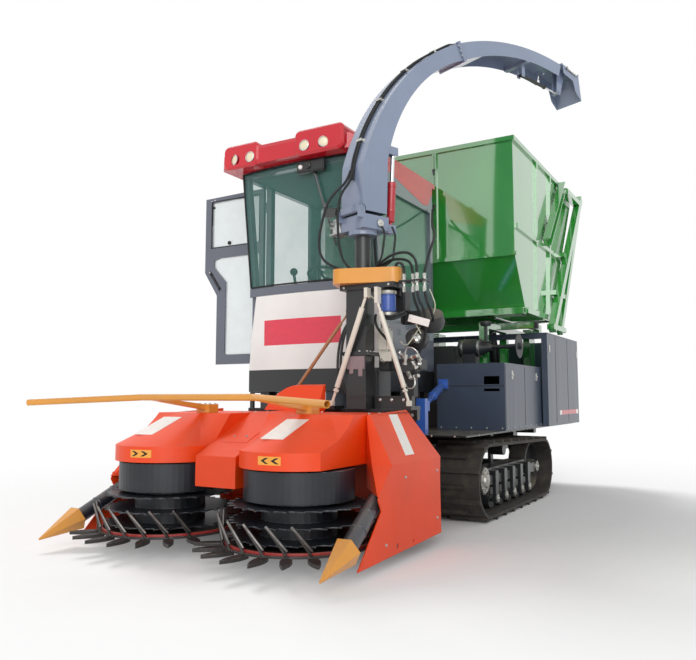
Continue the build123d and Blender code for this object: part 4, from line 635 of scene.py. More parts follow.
hose_rubber = moulded_rubber("wrapped_hose_rubber", "#1c1f22", "#2c2c2b")
pale_hose = printed_film("pale_nylon_line", "#c9cbb5", 0.1)
bench_lines = [
    [(0.765, -1.7, 1.84), (0.765, -1.7, 1.78), (0.74, -1.66, 1.68), (0.7, -1.56, 1.62), (0.66, -1.5, 1.6)],
    [(0.825, -1.67, 1.84), (0.83, -1.67, 1.76), (0.86, -1.62, 1.66), (0.82, -1.55, 1.55),
        (0.76, -1.5, 1.46)],
    [(0.875, -1.705, 1.84), (0.88, -1.71, 1.76), (0.92, -1.68, 1.68), (0.9, -1.6, 1.56),
        (0.84, -1.52, 1.42), (0.78, -1.5, 1.34)],
    [(0.915, -1.66, 1.84), (0.925, -1.66, 1.76), (0.955, -1.62, 1.66), (0.93, -1.52, 1.6),
        (0.86, -1.4, 1.62)],
    [(0.61, -1.78, 1.655), (0.66, -1.8, 1.625), (0.73, -1.79, 1.63), (0.79, -1.75, 1.66)],
    [(0.6, -1.77, 1.64), (0.66, -1.79, 1.605), (0.74, -1.78, 1.61), (0.8, -1.73, 1.65)],
    [(0.5, -1.66, 1.66), (0.53, -1.75, 1.6), (0.58, -1.72, 1.5), (0.6, -1.6, 1.44)],
    [(0.255, -1.76, 1.05), (0.235, -1.8, 1.15), (0.235, -1.8, 1.35), (0.255, -1.77, 1.52),
        (0.28, -1.72, 1.6)],
    [(0.285, -1.76, 1.05), (0.262, -1.8, 1.16), (0.262, -1.8, 1.34), (0.28, -1.78, 1.5),
        (0.3, -1.74, 1.62)],
]
hoses("bench_hoses", bench_lines, 0.0105, hose_rubber)
roof_lines = [
    [(0.915, -1.66, 1.955), (0.94, -1.64, 2.1), (0.9, -1.4, 2.3), (0.72, -1.00, 2.45), (0.46, -0.45, 2.62),
        (0.33, -0.12, 2.88)],
    [(0.875, -1.705, 1.955), (0.875, -1.7, 2.05), (0.8, -1.7, 2.13), (0.66, -1.7, 2.12), (0.56, -1.7, 2.06),
        (0.5, -1.7, 2.01)],
    [(0.825, -1.67, 1.955), (0.82, -1.67, 2.03), (0.76, -1.66, 2.08), (0.64, -1.66, 2.09),
        (0.55, -1.66, 2.05), (0.49, -1.66, 2.01)],
    [(0.765, -1.7, 1.955), (0.765, -1.7, 2.02), (0.735, -1.72, 2.05), (0.7, -1.72, 2.03),
        (0.69, -1.71, 1.985)],
]
hoses("mast_top_hoses", roof_lines, 0.0105, hose_rubber)
loose_lines = [
    [(0.52, -1.79, 1.8), (0.56, -1.82, 1.77), (0.6, -1.8, 1.75), (0.62, -1.76, 1.72)],
    [(0.93, -1.6, 1.84), (0.97, -1.6, 1.76), (0.97, -1.58, 1.68), (0.93, -1.56, 1.64)],
    [(0.66, -1.56, 1.46), (0.72, -1.6, 1.4), (0.78, -1.6, 1.46), (0.83, -1.56, 1.56)],
    [(0.79, -1.62, 1.64), (0.83, -1.64, 1.58), (0.87, -1.63, 1.5)],
]
hoses("thin_lines", loose_lines, 0.0042, pale_hose)

# Hydraulic pumps and their plated elbows, stacked on the drive box beside the mast.
pumps = bmesh.new()
turned(pumps, [(0.05, 0), (0.075, 0.01), (0.085, 0.04), (0.085, 0.1), (0.07, 0.12), (0.055, 0.13),
    (0.055, 0.19), (0.03, 0.2)], standing((0.74, -1.36, 1.47), (0.1, -1, 0.1)), 32)
turned(pumps, [(0.06, 0), (0.1, 0.02), (0.115, 0.07), (0.1, 0.14), (0.05, 0.17)],
    standing((0.82, -1.33, 1.56), (0.2, -0.5, 0.8)), 32)
turned(pumps, [(0.055, 0), (0.065, 0.01), (0.065, 0.08), (0.045, 0.095), (0.045, 0.14)],
    standing((0.72, -1.45, 1.25), (0.05, -1, 0)), 28)
slab(pumps, (0.53, -1.5, 1.235), (0.8, -1.36, 1.32), 0.006)
slab(pumps, (0.6, -1.45, 1.02), (0.72, -1.36, 1.24), 0.006)
slab(pumps, (0.47, -1.56, 1.23), (0.56, -1.44, 1.36), 0.006)
slab(pumps, (0.62, -1.47, 1.6), (0.78, -1.38, 1.7), 0.006)
piece("pump_bodies", pumps, cast)
elbows = bmesh.new()
elbow_rows = (                                                  # start, direction, length
    ((0.72, -1.6, 1.27), (0.2, -0.2, 1.0), 0.075), ((0.77, -1.6, 1.32), (0.9, -0.3, 0.2), 0.065),
    ((0.75, -1.61, 1.21), (0.5, -0.5, -0.6), 0.07),
    ((0.81, -1.59, 1.24), (-0.3, -0.4, 0.8), 0.06), ((0.8, -1.54, 1.45), (0.3, -0.9, 0.1), 0.06),
    ((0.7, -1.585, 1.33), (-0.3, -0.6, 0.6), 0.055),
    ((0.83, -1.57, 1.31), (0.2, -0.6, -0.7), 0.06), ((0.78, -1.585, 1.17), (0.8, -0.3, 0.2), 0.06),
    ((0.52, -1.56, 1.3), (0, -1, 0.2), 0.05),
)
for start, along, reach in elbow_rows:
    place = standing(start, along)
    turned(elbows, [(0.019, 0), (0.019, 0.016)], place, 6)
    turned(elbows, [(0.012, 0.016), (0.012, reach * 0.6)], place, 16)
    turned(elbows, [(0.017, reach * 0.6), (0.017, reach), (0.012, reach + 0.006)], place, 6)
turned(elbows, [(0.03, 0), (0.036, 0.006), (0.036, 0.022), (0.022, 0.03), (0.012, 0.04)],
    standing((0.8, -1.555, 1.475), (0.1, -1, 0)), 28)
piece("pump_elbows", elbows, zinc)
pipe_lines = [
    [(0.72, -1.6, 1.34), (0.73, -1.61, 1.4), (0.79, -1.61, 1.4), (0.83, -1.6, 1.36), (0.84, -1.58, 1.31)],
    [(0.8, -1.62, 1.18), (0.83, -1.64, 1.13), (0.8, -1.64, 1.08), (0.75, -1.63, 1.09), (0.73, -1.6, 1.12)],
]
hoses("bent_steel_pipes", pipe_lines, 0.0065, zinc)
bottle = bmesh.new()
slab(bottle, (0.475, -1.6, 1.375), (0.575, -1.5, 1.565), 0.018, None, 4)
turned(bottle, [(0.022, 0), (0.022, 0.01), (0.026, 0.012), (0.026, 0.03), (0.022, 0.034)],
    standing((0.53, -1.55, 1.565), (0, 0, 1)), 24)
slab(bottle, (0.5, -1.6, 1.3), (0.6, -1.585, 1.372), 0.003)
piece("washer_bottle", bottle, printed_film("blow_moulded_polythene", "#dcdccf", 0.0))
bracket = bmesh.new()
tilt = Matrix.Translation((0.86, -1.66, 1.6)) @ Matrix.Rotation(radians(17), 4, "Y")
slab(bracket, (-0.085, -0.004, -0.028), (0.095, 0.004, 0.028), 0.002, tilt)
slab(bracket, (-0.085, -0.004, -0.028), (-0.079, 0.06, 0.028), 0.002, tilt)
bolts(bracket, [tilt @ Vector((-0.06, -0.004, 0))], (0, -1, 0), 0.009)
piece("white_bracket", bracket, white_film)

# ---- spout ----------------------------------------------------------------------------------
# Two lengths of folded sheet duct on a slewing turret, bolted at a flange, with a hinged flap.
# Glossy blue-grey enamel over welded seams.  Hoses climb the duct's back under pressed clamps.
duct_paint = painted("blue_grey_duct_enamel", "#828fa8", 0.26, 0.6, 0.12, 0.18, chips=0.3)
dress(duct_paint, "spout_turret", "spout_lower", "spout_upper", "spout_flap")
duct_place = Matrix.Translation((0.408, -1.7, 0)) @ Matrix.Rotation(radians(-22), 4, "Z")


def on_duct(across, reach, height):
    """The world point for a place on the duct: across its width, along its reach, up."""
    return duct_place @ Vector((across, reach, height))


def duct_way(across, reach, height):
    """The world direction for a direction on the duct."""
    return duct_place.to_3x3() @ Vector((across, reach, height))


across_way = duct_way(1, 0, 0)


def arc(first, middle, last, steps, away):
    """Points (reach, height) along the arc through three points, moved outwards."""
    (ax, ay), (bx, by), (cx, cy) = first, middle, last
    twice = 2 * (ax * (by - cy) + bx * (cy - ay) + cx * (ay - by))
    squares = [x * x + y * y for x, y in (first, middle, last)]
    x = (squares[0] * (by - cy) + squares[1] * (cy - ay) + squares[2] * (ay - by)) / twice
    y = (squares[0] * (cx - bx) + squares[1] * (ax - cx) + squares[2] * (bx - ax)) / twice
    radius = Vector((ax - x, ay - y)).length + away
    start, end = atan2(ay - y, ax - x), atan2(cy - y, cx - x)
    angles = [start + (end - start) * n / steps for n in range(steps + 1)]
    return [(x + radius * cos(a), y + radius * sin(a)) for a in angles]


LOWER_BACK = (-0.1, 2.85), (0.28, 3.58), (0.98, 4.14)
UPPER_BACK = (0.98, 4.14), (1.74, 4.372), (2.49, 4.39)
hose_line = arc(*LOWER_BACK, 8, 0.014)[:-1] + [(0.964, 4.166), (1.0, 4.178)]
hose_line += arc(*UPPER_BACK, 10, 0.014)[1:6]
duct_routes = [[on_duct(across, -0.124, 2.72)] + [on_duct(across, *point) for point in hose_line] +
               [on_duct(across, 1.79, 4.38), on_duct(across, 1.83, 4.375)] for across in (-0.002, 0.028)]
hoses("duct_hoses", duct_routes, 0.0105, hose_rubber, "spout")
BEND_REACH, BEND_HEIGHT = 1.6, 2.72                            # middle of the duct's bend
clamps = bmesh.new()
for reach, height in arc(*LOWER_BACK, 8, 0.0)[1::2] + arc(*UPPER_BACK, 10, 0.0)[2:5:2]:
    outward = duct_way(0, reach - BEND_REACH, height - BEND_HEIGHT).normalized()
    saddle = standing(on_duct(0.013, reach, height), outward)
    spin = saddle.to_3x3().inverted() @ across_way
    saddle = saddle @ Matrix.Rotation(atan2(spin.y, spin.x), 4, "Z")
    slab(clamps, (-0.03, -0.012, 0.024), (0.03, 0.012, 0.0275), 0.001, saddle)
    for side in (-1, 1):
        slab(clamps, (side * 0.03 - 0.002, -0.012, 0.0), (side * 0.03 + 0.002, 0.012, 0.0275), 0.001,
            saddle)
        slab(clamps, (side * 0.04 - 0.011, -0.012, 0.0), (side * 0.04 + 0.011, 0.012, 0.003), 0.001, saddle)
    bolts(clamps, [saddle @ Vector((side * 0.041, 0, 0.003)) for side in (-1, 1)], outward, 0.006)
piece("duct_hose_clamps", clamps, zinc, "spout")
loop_low = [
    [(0.32, -1.8, 2.012), (0.25, -1.84, 2.02), (0.13, -1.88, 2.1), (0.11, -1.9, 2.25), (0.16, -1.91, 2.4)],
    [(0.36, -1.8, 2.012), (0.315, -1.82, 2.05), (0.285, -1.85, 2.15), (0.275, -1.86, 2.25),
        (0.275, -1.87, 2.4)],
]
slew_loops = hoses("slew_hose_loops", loop_low, 0.0105, hose_rubber, None)
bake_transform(slew_loops)
loop_high = [
    [(0.16, -1.91, 2.4), (0.2, -1.92, 2.52), (0.28, -1.91, 2.62), on_duct(-0.002, -0.16, 2.7),
        on_duct(-0.002, -0.124, 2.8)],
    [(0.275, -1.87, 2.4), (0.29, -1.89, 2.52), (0.33, -1.89, 2.62), on_duct(0.028, -0.15, 2.7),
        on_duct(0.028, -0.124, 2.8)],
]
lift_loops = hoses("lift_hose_loops", loop_high, 0.0105, hose_rubber, None)
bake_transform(lift_loops)
right_loop = hoses("barrel_feed_hoses", [
    [on_duct(0.16, 0.165, 2.36), on_duct(0.19, 0.18, 2.3), (0.63, -1.6, 2.18), (0.64, -1.62, 2.1),
        (0.6, -1.66, 2.05), (0.55, -1.68, 2.01)],
    [on_duct(0.16, 0.06, 2.345), on_duct(0.2, 0.06, 2.3), (0.6, -1.72, 2.2), (0.585, -1.72, 2.1),
        (0.55, -1.72, 2.05), (0.52, -1.72, 2.01)],
], 0.0085, hose_rubber, None)
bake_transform(right_loop)
seams = bmesh.new()
JOINT, JOINT_SLOPE = Vector((0.98, 4.14)), Vector((0.46, -0.888))
back_way, front_way = duct_way(0, -0.888, -0.46), duct_way(0, 0.888, 0.46)
FLANGE_BACK, FLANGE_FRONT = Vector((-0.0142, -0.0074)), Vector((0.0142, 0.0074))
for across in [0.06 * n for n in range(-2, 3)]:
    head = JOINT - JOINT_SLOPE * 0.008
    bolts(seams, [on_duct(across, *(head + FLANGE_BACK))], back_way, 0.009)
    bolts(seams, [on_duct(across, *(head + FLANGE_FRONT))], front_way, 0.009)
for side in (-1, 1):
    for down in (0.02, 0.065, 0.11):
        head = JOINT + JOINT_SLOPE * down
        bolts(seams, [on_duct(side * 0.148, *(head + FLANGE_BACK))], back_way, 0.009)
piece("duct_flange_bolts", seams, zinc, "spout")
hinge = bmesh.new()
for across in (-0.1, 0.0, 0.1):
    turned(hinge, [(0.012, -0.03), (0.014, -0.028), (0.014, 0.028), (0.012, 0.03)],
        standing(on_duct(across, 2.497, 4.398), across_way), 16)
    slab(hinge, (across - 0.025, 2.43, 4.388), (across + 0.025, 2.49, 4.393), 0.001, duct_place)
turned(hinge, [(0.006, -0.155), (0.006, 0.155)], standing(on_duct(0, 2.497, 4.398), across_way), 12)
bolts(hinge, [on_duct(across + side * 0.014, 2.452, 4.393) for across in (-0.1, 0.0, 0.1)
    for side in (-1, 1)], (0, 0, 1), 0.005)
piece("flap_hinge_knuckles", hinge, duct_paint, "spout")
springs = bmesh.new()
for side in (-1, 1):
    for reach, height in ((2.55, 4.372), (2.73, 4.335)):
        turned(springs, [(0.006, 0), (0.006, 0.03), (0.011, 0.031), (0.011, 0.038), (0.006, 0.04)],
            standing(on_duct(side * 0.1405, reach, height), across_way * side), 12)
    for n in range(14):
        share = n / 13
        ring_place = standing(on_duct(side * 0.158, 2.562 + 0.156 * share, 4.3695 - 0.032 * share),
            duct_way(0, 0.98, -0.2))
        turned(springs, [(0.0085, -0.002), (0.0105, 0.0), (0.0085, 0.002)], ring_place, 14)
piece("flap_return_springs", springs, zinc, "flap")
LIFT_BASE, LIFT_EYE = on_duct(0.1, 0.2, 2.345), on_duct(0.1, 0.232, 3.000)
lift_way, lift_length = (LIFT_EYE - LIFT_BASE).normalized(), (LIFT_EYE - LIFT_BASE).length
lift_place = standing(LIFT_BASE, lift_way)
EYE_RING = [(0.0125, -0.018), (0.022, -0.018), (0.022, 0.018), (0.0125, 0.018)]
barrel = bmesh.new()
turned(barrel, EYE_RING, standing(LIFT_BASE, across_way), 28)
turned(barrel, [(0.015, 0.018), (0.016, 0.066), (0.031, 0.07), (0.033, 0.074), (0.033, 0.352),
    (0.037, 0.356), (0.037, 0.392), (0.034, 0.396), (0.0175, 0.397)], lift_place, 36)
for height in (0.15, 0.3):
    turned(barrel, [(0.033, height), (0.0355, height + 0.002), (0.0355, height + 0.02),
        (0.033, height + 0.022)], lift_place, 36)
barrel = piece("lift_barrel_tube", barrel, lift_red, "spout_lift_barrel")
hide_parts("spout_lift_barrel")
stem = bmesh.new()
turned(stem, EYE_RING, standing(LIFT_EYE, across_way), 28)
turned(stem, [(0.017, 0.38), (0.017, lift_length - 0.06), (0.021, lift_length - 0.056),
    (0.021, lift_length - 0.019)], lift_place, 32)
stem = piece("lift_rod_stem", stem, chrome, "spout_lift_rod")
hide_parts("spout_lift_rod")
drive = bmesh.new()
turned(drive, [(0.046, 0), (0.052, 0.006), (0.052, 0.035), (0.04, 0.04), (0.04, 0.1), (0.045, 0.104),
    (0.045, 0.118), (0.02, 0.124)], standing(on_duct(-0.195, -0.09, 2.325), (0, 0, 1)), 32)
slab(drive, (-0.255, -0.145, 2.317), (-0.139, -0.015, 2.327), 0.002, duct_place)
for lift in (2.375, 2.41):
    turned(drive, [(0.013, 0.03), (0.013, 0.052), (0.009, 0.055), (0.009, 0.07)],
        standing(on_duct(-0.195, -0.09, lift), duct_way(-0.4, -0.9, 0)), 6)
alloy = metal("die_cast_alloy", "#c3c4c4", 0.42, "#6d675f", 0.35)
piece("slew_motor", drive, alloy, "turret")
guard_plate = bmesh.new()
lean = on_duct(-0.142, -0.06, 2.52)
plate_place = Matrix.Translation(lean) @ Matrix.Rotation(radians(-22), 4, "Z")
plate_place = plate_place @ Matrix.Rotation(radians(14), 4, "Y")
slab(guard_plate, (-0.17, -0.1, -0.004), (-0.002, 0.08, 0.004), 0.001, plate_place)
slab(guard_plate, (-0.17, -0.1, -0.075), (-0.002, -0.094, 0.004), 0.001, plate_place)
slab(guard_plate, (-0.17, -0.1, -0.045), (-0.164, 0.08, 0.004), 0.001, plate_place)
piece("slew_stop_plate", guard_plate, frame_black, "spout")
hubs = bmesh.new()
for side in (-1, 1):
    turned(hubs, [(0.028, 0), (0.03, 0.003), (0.03, 0.014), (0.022, 0.018), (0.008, 0.02), (0.008, 0.03)],
        standing(on_duct(side * 0.1405, 0.055, 2.375), across_way * side), 28)
piece("turret_hub_caps", hubs, zinc, "turret")

# ---- cab ------------------------------------------------------------------------------------
# Welded box-section frame with a gloss white moulded front panel, bonded tinted glass and a
# red moulded roof.  Lamps sit in the roof's pods, the wiper hangs from its motor box.
white_gloss = painted("white_moulded_panel", "#efeeeb", 0.2, 0.7, 0.04, 0.05, "#cfcdc6", 0.1)
frame_grey = painted("grey_cab_enamel", "#5d6370", 0.26, 0.6, 0.1)
roof_red = painted("red_gelcoat", "#cd1428", 0.22, 0.35, 0.06, 0.06, "#a81826", 0.2)
floor_black = moulded_rubber("ribbed_floor_mat", "#25272a", "#4b463f")
dress(white_gloss, "cab_front_panel")
dress(frame_grey, "cab_frame", "cab_door")
dress(frame_black, "cab_base", "cab_ladder")
dress(roof_red, "cab_roof")


def tinted(name, colour, thickness):
    """Green body-tinted safety glass; thickness is how much it hides of what is behind it."""
    made, tree, shader, place = surface(name)
    smear = speckle(tree, place.outputs["Object"], 2.5, 4.0, 0.35, 0.75)
    hidden = add(tree, "Math", {0: smear, 1: 0.1, 2: thickness}, operation="MULTIPLY_ADD")
    fill(tree, shader, {"Base Color": blend_colour(tree, smear, srgb(colour), srgb(colour, 1.12)),
                        "Alpha": hidden.outputs[0], "Roughness": 0.04, "Coat Weight": 0.8,
                        "Coat Roughness": 0.02})
    return made


dress(tinted("green_tinted_screen", "#3f8076", 0.24), "windscreen")
dress(tinted("green_tinted_side_glass", "#5f9a80", 0.34), "cab_glass")
# The door glass's pale, near-white colour is painted light: it stands in for the bright sky seen through
# the pane.
dress(tinted("door_glass_painted_light", "#dfe9ea", 0.42), "door_glass")
vinyl_black = moulded_rubber("grained_black_vinyl", "#202225", "#2a2a2a")
console_grey = moulded_rubber("textured_console_plastic", "#3a3f40", "#45484a")
dress(console_grey, "control_console")
seal = moulded_rubber("glass_seal_rubber", "#17191a", "#2a2927")


def front_bow(x):
    """How far the cab's bowed front falls back from its middle."""
    return 0.06 * ((x + 0.39) / 0.69) ** 2


def screen_point(x, z, away):
    """A point standing off the outside of the curved, leaning windscreen."""
    return Vector((x, -1.285 + front_bow(x) - 0.14 * (z - 2.04) / 1.08 - away, z))


edge_across = [-1.06 + 1.34 * n / 12 for n in range(13)]
edge_up = [2.05 + 1.06 * n / 6 for n in range(7)]
border = [[screen_point(x, z, 0.004) for x in edge_across] for z in (2.05, 3.105)]
border += [[screen_point(x, z, 0.004) for z in edge_up] for x in (-1.062, 0.282)]
hoses("windscreen_seal", border, 0.008, seal)
# A board under the roof whose dark grey-green is painted shade: it darkens the cab's ceiling as seen
# through the glass.
lining = bmesh.new()
slab(lining, (-1.00, -1.33, 3.07), (0.22, -0.16, 3.08), 0.004)
piece("roof_lining", lining, moulded_rubber("lining_board_painted_shade", "#41504c", "#4b5955"))
lamp_bodies, lenses = bmesh.new(), bmesh.new()
for x, turn in ((-1.002, -0.35), (-0.829, 0.0), (-0.241, 0.0), (-0.047, 0.35)):
    place = standing((x, -1.556, 3.19), (turn, -1, 0.05))
    turned(lamp_bodies, [(0.03, -0.004), (0.047, 0.01), (0.049, 0.016), (0.049, 0.022), (0.043, 0.024),
        (0.043, 0.016)], place, 36)
    turned(lenses, [(0.043, 0.017), (0.038, 0.022), (0.026, 0.026), (0.01, 0.028)], place, 36)
piece("roof_lamp_bezels", lamp_bodies, chrome)
piece("roof_lamp_lenses", lenses, printed_film("cream_fluted_lens", "#f3e6c4", 0.8))
box = bmesh.new()
slab(box, (-0.38, -1.485, 2.985), (-0.1, -1.425, 3.085), 0.008)
turned(box, [(0.03, 0), (0.03, 0.012), (0.024, 0.016)], standing((-0.26, -1.485, 3.04), (0, -1, 0)), 24)
piece("wiper_motor_box", box, frame_black)
marker = bmesh.new()
turned(marker, [(0.021, 0), (0.021, 0.008), (0.017, 0.016), (0.008, 0.021)],
    standing((-0.335, -1.4855, 3.035), (0, -1, 0)), 28)
piece("marker_lens", marker, printed_film("white_marker_lens", "#f7f8f6", 0.8))
wiper = bmesh.new()
top, mid = screen_point(-0.22, 2.985, 0.035), screen_point(-0.155, 2.7, 0.03)
tip_end = screen_point(-0.066, 2.34, 0.014)
for start, end, width, height in ((top, mid, 0.009, 0.005),
        (mid, screen_point(-0.11, 2.52, 0.022), 0.006, 0.004)):
    place = standing(start, end - start)
    slab(wiper, (-width, -height, 0), (width, height, (end - start).length), 0.002, place)
blade_top = screen_point(-0.155, 2.72, 0.013)
place = standing(blade_top, tip_end - blade_top)
slab(wiper, (-0.005, -0.007, 0), (0.005, 0.006, (tip_end - blade_top).length), 0.002, place)
turned(wiper, [(0.014, -0.02), (0.016, 0.0), (0.016, 0.012), (0.01, 0.018)],
    standing(screen_point(-0.22, 2.985, 0.03), (0, -1, -0.1)), 24)
piece("wiper_arm", wiper, frame_black)
sign = bmesh.new()
SIGN_LEFT, SIGN_RIGHT, SIGN_LOW, SIGN_HIGH = -0.885, -0.049, 1.494, 1.728
steps = 12
for n in range(steps):
    x0 = SIGN_LEFT + (SIGN_RIGHT - SIGN_LEFT) * n / steps
    x1 = SIGN_LEFT + (SIGN_RIGHT - SIGN_LEFT) * (n + 1) / steps
    corners = [(x0, SIGN_LOW), (x1, SIGN_LOW), (x1, SIGN_HIGH), (x0, SIGN_HIGH)]
    sign.faces.new([sign.verts.new((x, -1.2865 + front_bow(x), z)) for x, z in corners])
bmesh.ops.remove_doubles(sign, verts=sign.verts[:], dist=0.0005)
piece("blank_red_sign", sign, printed_film("red_vinyl_film", "#e2364e", 0.5))

# Door fittings: a rubber seal round the upper pane, a grip in the knee's recess, its lock and
# the knobs that clamp the pane.
DOOR_FRONT, DOOR_BACK = -0.975, -0.939
door_seals = bmesh.new()
upper_pane = [(-1.17, 2.558), (-1.788, 2.558), (-1.788, 3.045), (-1.17, 3.045)]
for first, second in zip(upper_pane, upper_pane[1:] + upper_pane[:1]):
    low = (min(first[0], second[0]) - 0.005, DOOR_FRONT - 0.003, min(first[1], second[1]) - 0.005)
    high = (max(first[0], second[0]) + 0.005, DOOR_BACK + 0.003, max(first[1], second[1]) + 0.005)
    slab(door_seals, low, high, 0.002)
piece("door_pane_seals", door_seals, seal, "cab_door")
grip = bmesh.new()
grip_line = Vector((0.15, 0, -0.21)).normalized()
grip_place = standing((-1.8, DOOR_FRONT + 0.004, 2.3), grip_line)
slab(grip, (-0.01, -0.006, 0.03), (0.01, 0.006, 0.215), 0.004, grip_place, 3)
turned(grip, [(0.017, -0.006), (0.018, 0.0), (0.018, 0.01), (0.012, 0.014)],
    standing((-1.796, DOOR_FRONT + 0.01, 2.302), (0, -1, 0)), 24)
piece("door_grip", grip, frame_black, "cab_door")
lock = bmesh.new()
turned(lock, [(0.008, 0.01), (0.008, 0.014), (0.003, 0.015)],
    standing((-1.796, DOOR_FRONT + 0.004, 2.302), (0, -1, 0)), 16)
for x, z in ((-1.79, 3.055), (-1.75, 3.058)):
    turned(lock, [(0.006, 0.0), (0.006, 0.003), (0.003, 0.005)], standing((x, DOOR_FRONT, z), (0, -1, 0)),
        12)
piece("door_lock_barrel", lock, chrome, "cab_door")
knobs = bmesh.new()
turned(knobs, [(0.018, 0), (0.02, 0.004), (0.02, 0.014), (0.013, 0.018)],
    standing((-1.554, -0.961, 2.592), (0, -1, 0)), 28)
turned(knobs, [(0.012, 0), (0.013, 0.004), (0.013, 0.01), (0.008, 0.013)],
    standing((-1.765, -0.961, 2.985), (0, -1, 0)), 24)
piece("pane_clamp_knobs", knobs, vinyl_black, "cab_door")
RUNG_TOPS, RUNG_FRONT, BAR_GAP = (0.442, 0.652, 0.862, 1.072), -0.97, 0.0833
bars = bmesh.new()
for z in RUNG_TOPS:
    for n in range(5):
        y = RUNG_FRONT + BAR_GAP * n
        slab(bars, (-1.232, y, z), (-1.158, y + 0.006, z + 0.008), 0.0015)
piece("ladder_grip_bars", bars, frame_black)

# Behind the glass: steering wheel, and a sprung seat with sewn, padded covers on a steel base.
wheel = bmesh.new()
wheel_place = standing((-0.39, -0.948, 2.095), (0, 0.34, 0.94))
rim = []
for n in range(48):
    angle = 2 * pi * n / 48
    ring_centre = Vector((0.19 * cos(angle), 0.19 * sin(angle), 0.055))
    outward = Vector((cos(angle), sin(angle), 0))
    around = [ring_centre + 0.0145 * (outward * cos(a) + Vector((0, 0, 1)) * sin(a))
        for a in [2 * pi * m / 12 for m in range(12)]]
    rim.append([wheel.verts.new(wheel_place @ p) for p in around])
for n in range(48):
    low, high = rim[n], rim[(n + 1) % 48]
    for m in range(12):
        wheel.faces.new((low[m], low[(m + 1) % 12], high[(m + 1) % 12], high[m]))
turned(wheel, [(0.028, -0.012), (0.045, 0.0), (0.048, 0.02), (0.04, 0.032), (0.015, 0.038)], wheel_place,
    32)
for n in range(3):
    spoke = wheel_place @ Matrix.Rotation(radians(90 + 120 * n), 4, "Z")
    slab(wheel, (0.035, -0.014, 0.012), (0.12, 0.014, 0.022), 0.003, spoke)
    slab(wheel, (0.105, -0.011, 0.02), (0.185, 0.011, 0.052), 0.004, spoke)
piece("steering_wheel", wheel, vinyl_black)
base = bmesh.new()
slab(base, (-0.58, -0.64, 1.27), (-0.2, -0.24, 1.292), 0.004)
slab(base, (-0.57, -0.63, 1.462), (-0.21, -0.25, 1.484), 0.004)
for n in range(7):
    low = 1.3 + 0.0232 * n
    turned(base, [(0.15, low), (0.168, low + 0.0116), (0.15, low + 0.0232)],
        Matrix.Translation((-0.39, -0.44, 0)), 4)
slab(base, (-0.6, -0.6, 1.484), (-0.565, -0.28, 1.512), 0.003)
slab(base, (-0.215, -0.6, 1.484), (-0.18, -0.28, 1.512), 0.003)
piece("seat_suspension", base, frame_black)


def woven(name, colour, thread):
    """Close-woven seat cloth: two crossing threads of 1.2 mm and worn, lighter high spots."""
    made, tree, shader, place = surface(name)
    here = place.outputs["Object"]
    rows = [add(tree, "TexWave", {"Vector": here, "Scale": 260.0}, bands_direction=way).outputs["Fac"]
        for way in "XY"]
    cloth = add(tree, "Math", {0: rows[0], 1: rows[1]}, operation="MAXIMUM").outputs[0]
    bump = add(tree, "Bump", {"Height": cloth, "Strength": 0.4, "Distance": 0.0008})
    fill(tree, shader, {"Base Color": blend_colour(tree, cloth, srgb(colour, 0.8), srgb(thread)),
                        "Normal": bump.outputs[0], "Roughness": 0.85, "Sheen Weight": 0.3})
    return made


def pad(name, low, high, crown, channels, place, material):
    """A sewn cushion: crowned faces, sides drawn in between the corners, channels sewn across."""
    form = bmesh.new()
    bmesh.ops.create_cube(form, size=2.0)
    bmesh.ops.subdivide_edges(form, edges=form.edges[:], cuts=27, use_grid_fill=True)
    middle, half = (Vector(low) + Vector(high)) / 2, (Vector(high) - Vector(low)) / 2
    for v in form.verts:
        x, y, z = v.co
        rounded = Vector([half[n] * c for n, c in enumerate((x, y, z))])
        inner = Vector([max(-half[n] + 0.035, min(half[n] - 0.035, rounded[n])) for n in range(3)])
        away = rounded - inner
        if away.length > 1e-6:
            rounded = inner + away.normalized() * min(0.035, max(abs(c) for c in away))
        fall = (1 - x ** 4) * (1 - y ** 4)
        rounded.z += crown * fall * (z if abs(z) > 0.5 else z * 2) - (crown if z > 0 else -crown)
        rounded.x *= 1 - 0.05 * (1 - y * y) * abs(x) ** 3
        rounded.y *= 1 - 0.05 * (1 - x * x) * abs(y) ** 3
        for line in channels:
            if z > 0.5:
                rounded.z -= 0.012 * max(0.0, 1 - abs(y - line) / 0.09) ** 2 * (1 - x ** 6)
        v.co = place @ (middle + rounded)
    made = piece(name, form, material, smooth=180)
    return made


seat_cloth = woven("charcoal_seat_cloth", "#2a2c2f", "#3d4043")
pads = [pad("seat_cushion", (-0.64, -0.69, 1.512), (-0.14, -0.2, 1.64), 0.018, (-0.45, 0.0, 0.45), Matrix(),
    seat_cloth)]
lean_back = Matrix.Translation((-0.39, -0.255, 1.6)) @ Matrix.Rotation(radians(82), 4, "X")
pads.append(pad("seat_back", (-0.24, 0.015, 0.0), (0.24, 0.625, 0.105), 0.016, (-0.5, 0.0, 0.5), lean_back,
    seat_cloth))
pads.append(pad("seat_headrest", (-0.12, 0.64, 0.008), (0.12, 0.79, 0.095), 0.012, (), lean_back,
    seat_cloth))
posts = bmesh.new()
for side in (-1, 1):
    foot = lean_back @ Matrix.Translation((side * 0.05, 0.575, 0.05))
    turned(posts, [(0.006, 0), (0.006, 0.1)], foot @ Matrix.Rotation(radians(-90), 4, "X"), 12)
piece("headrest_posts", posts, chrome)
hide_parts("operator_seat")

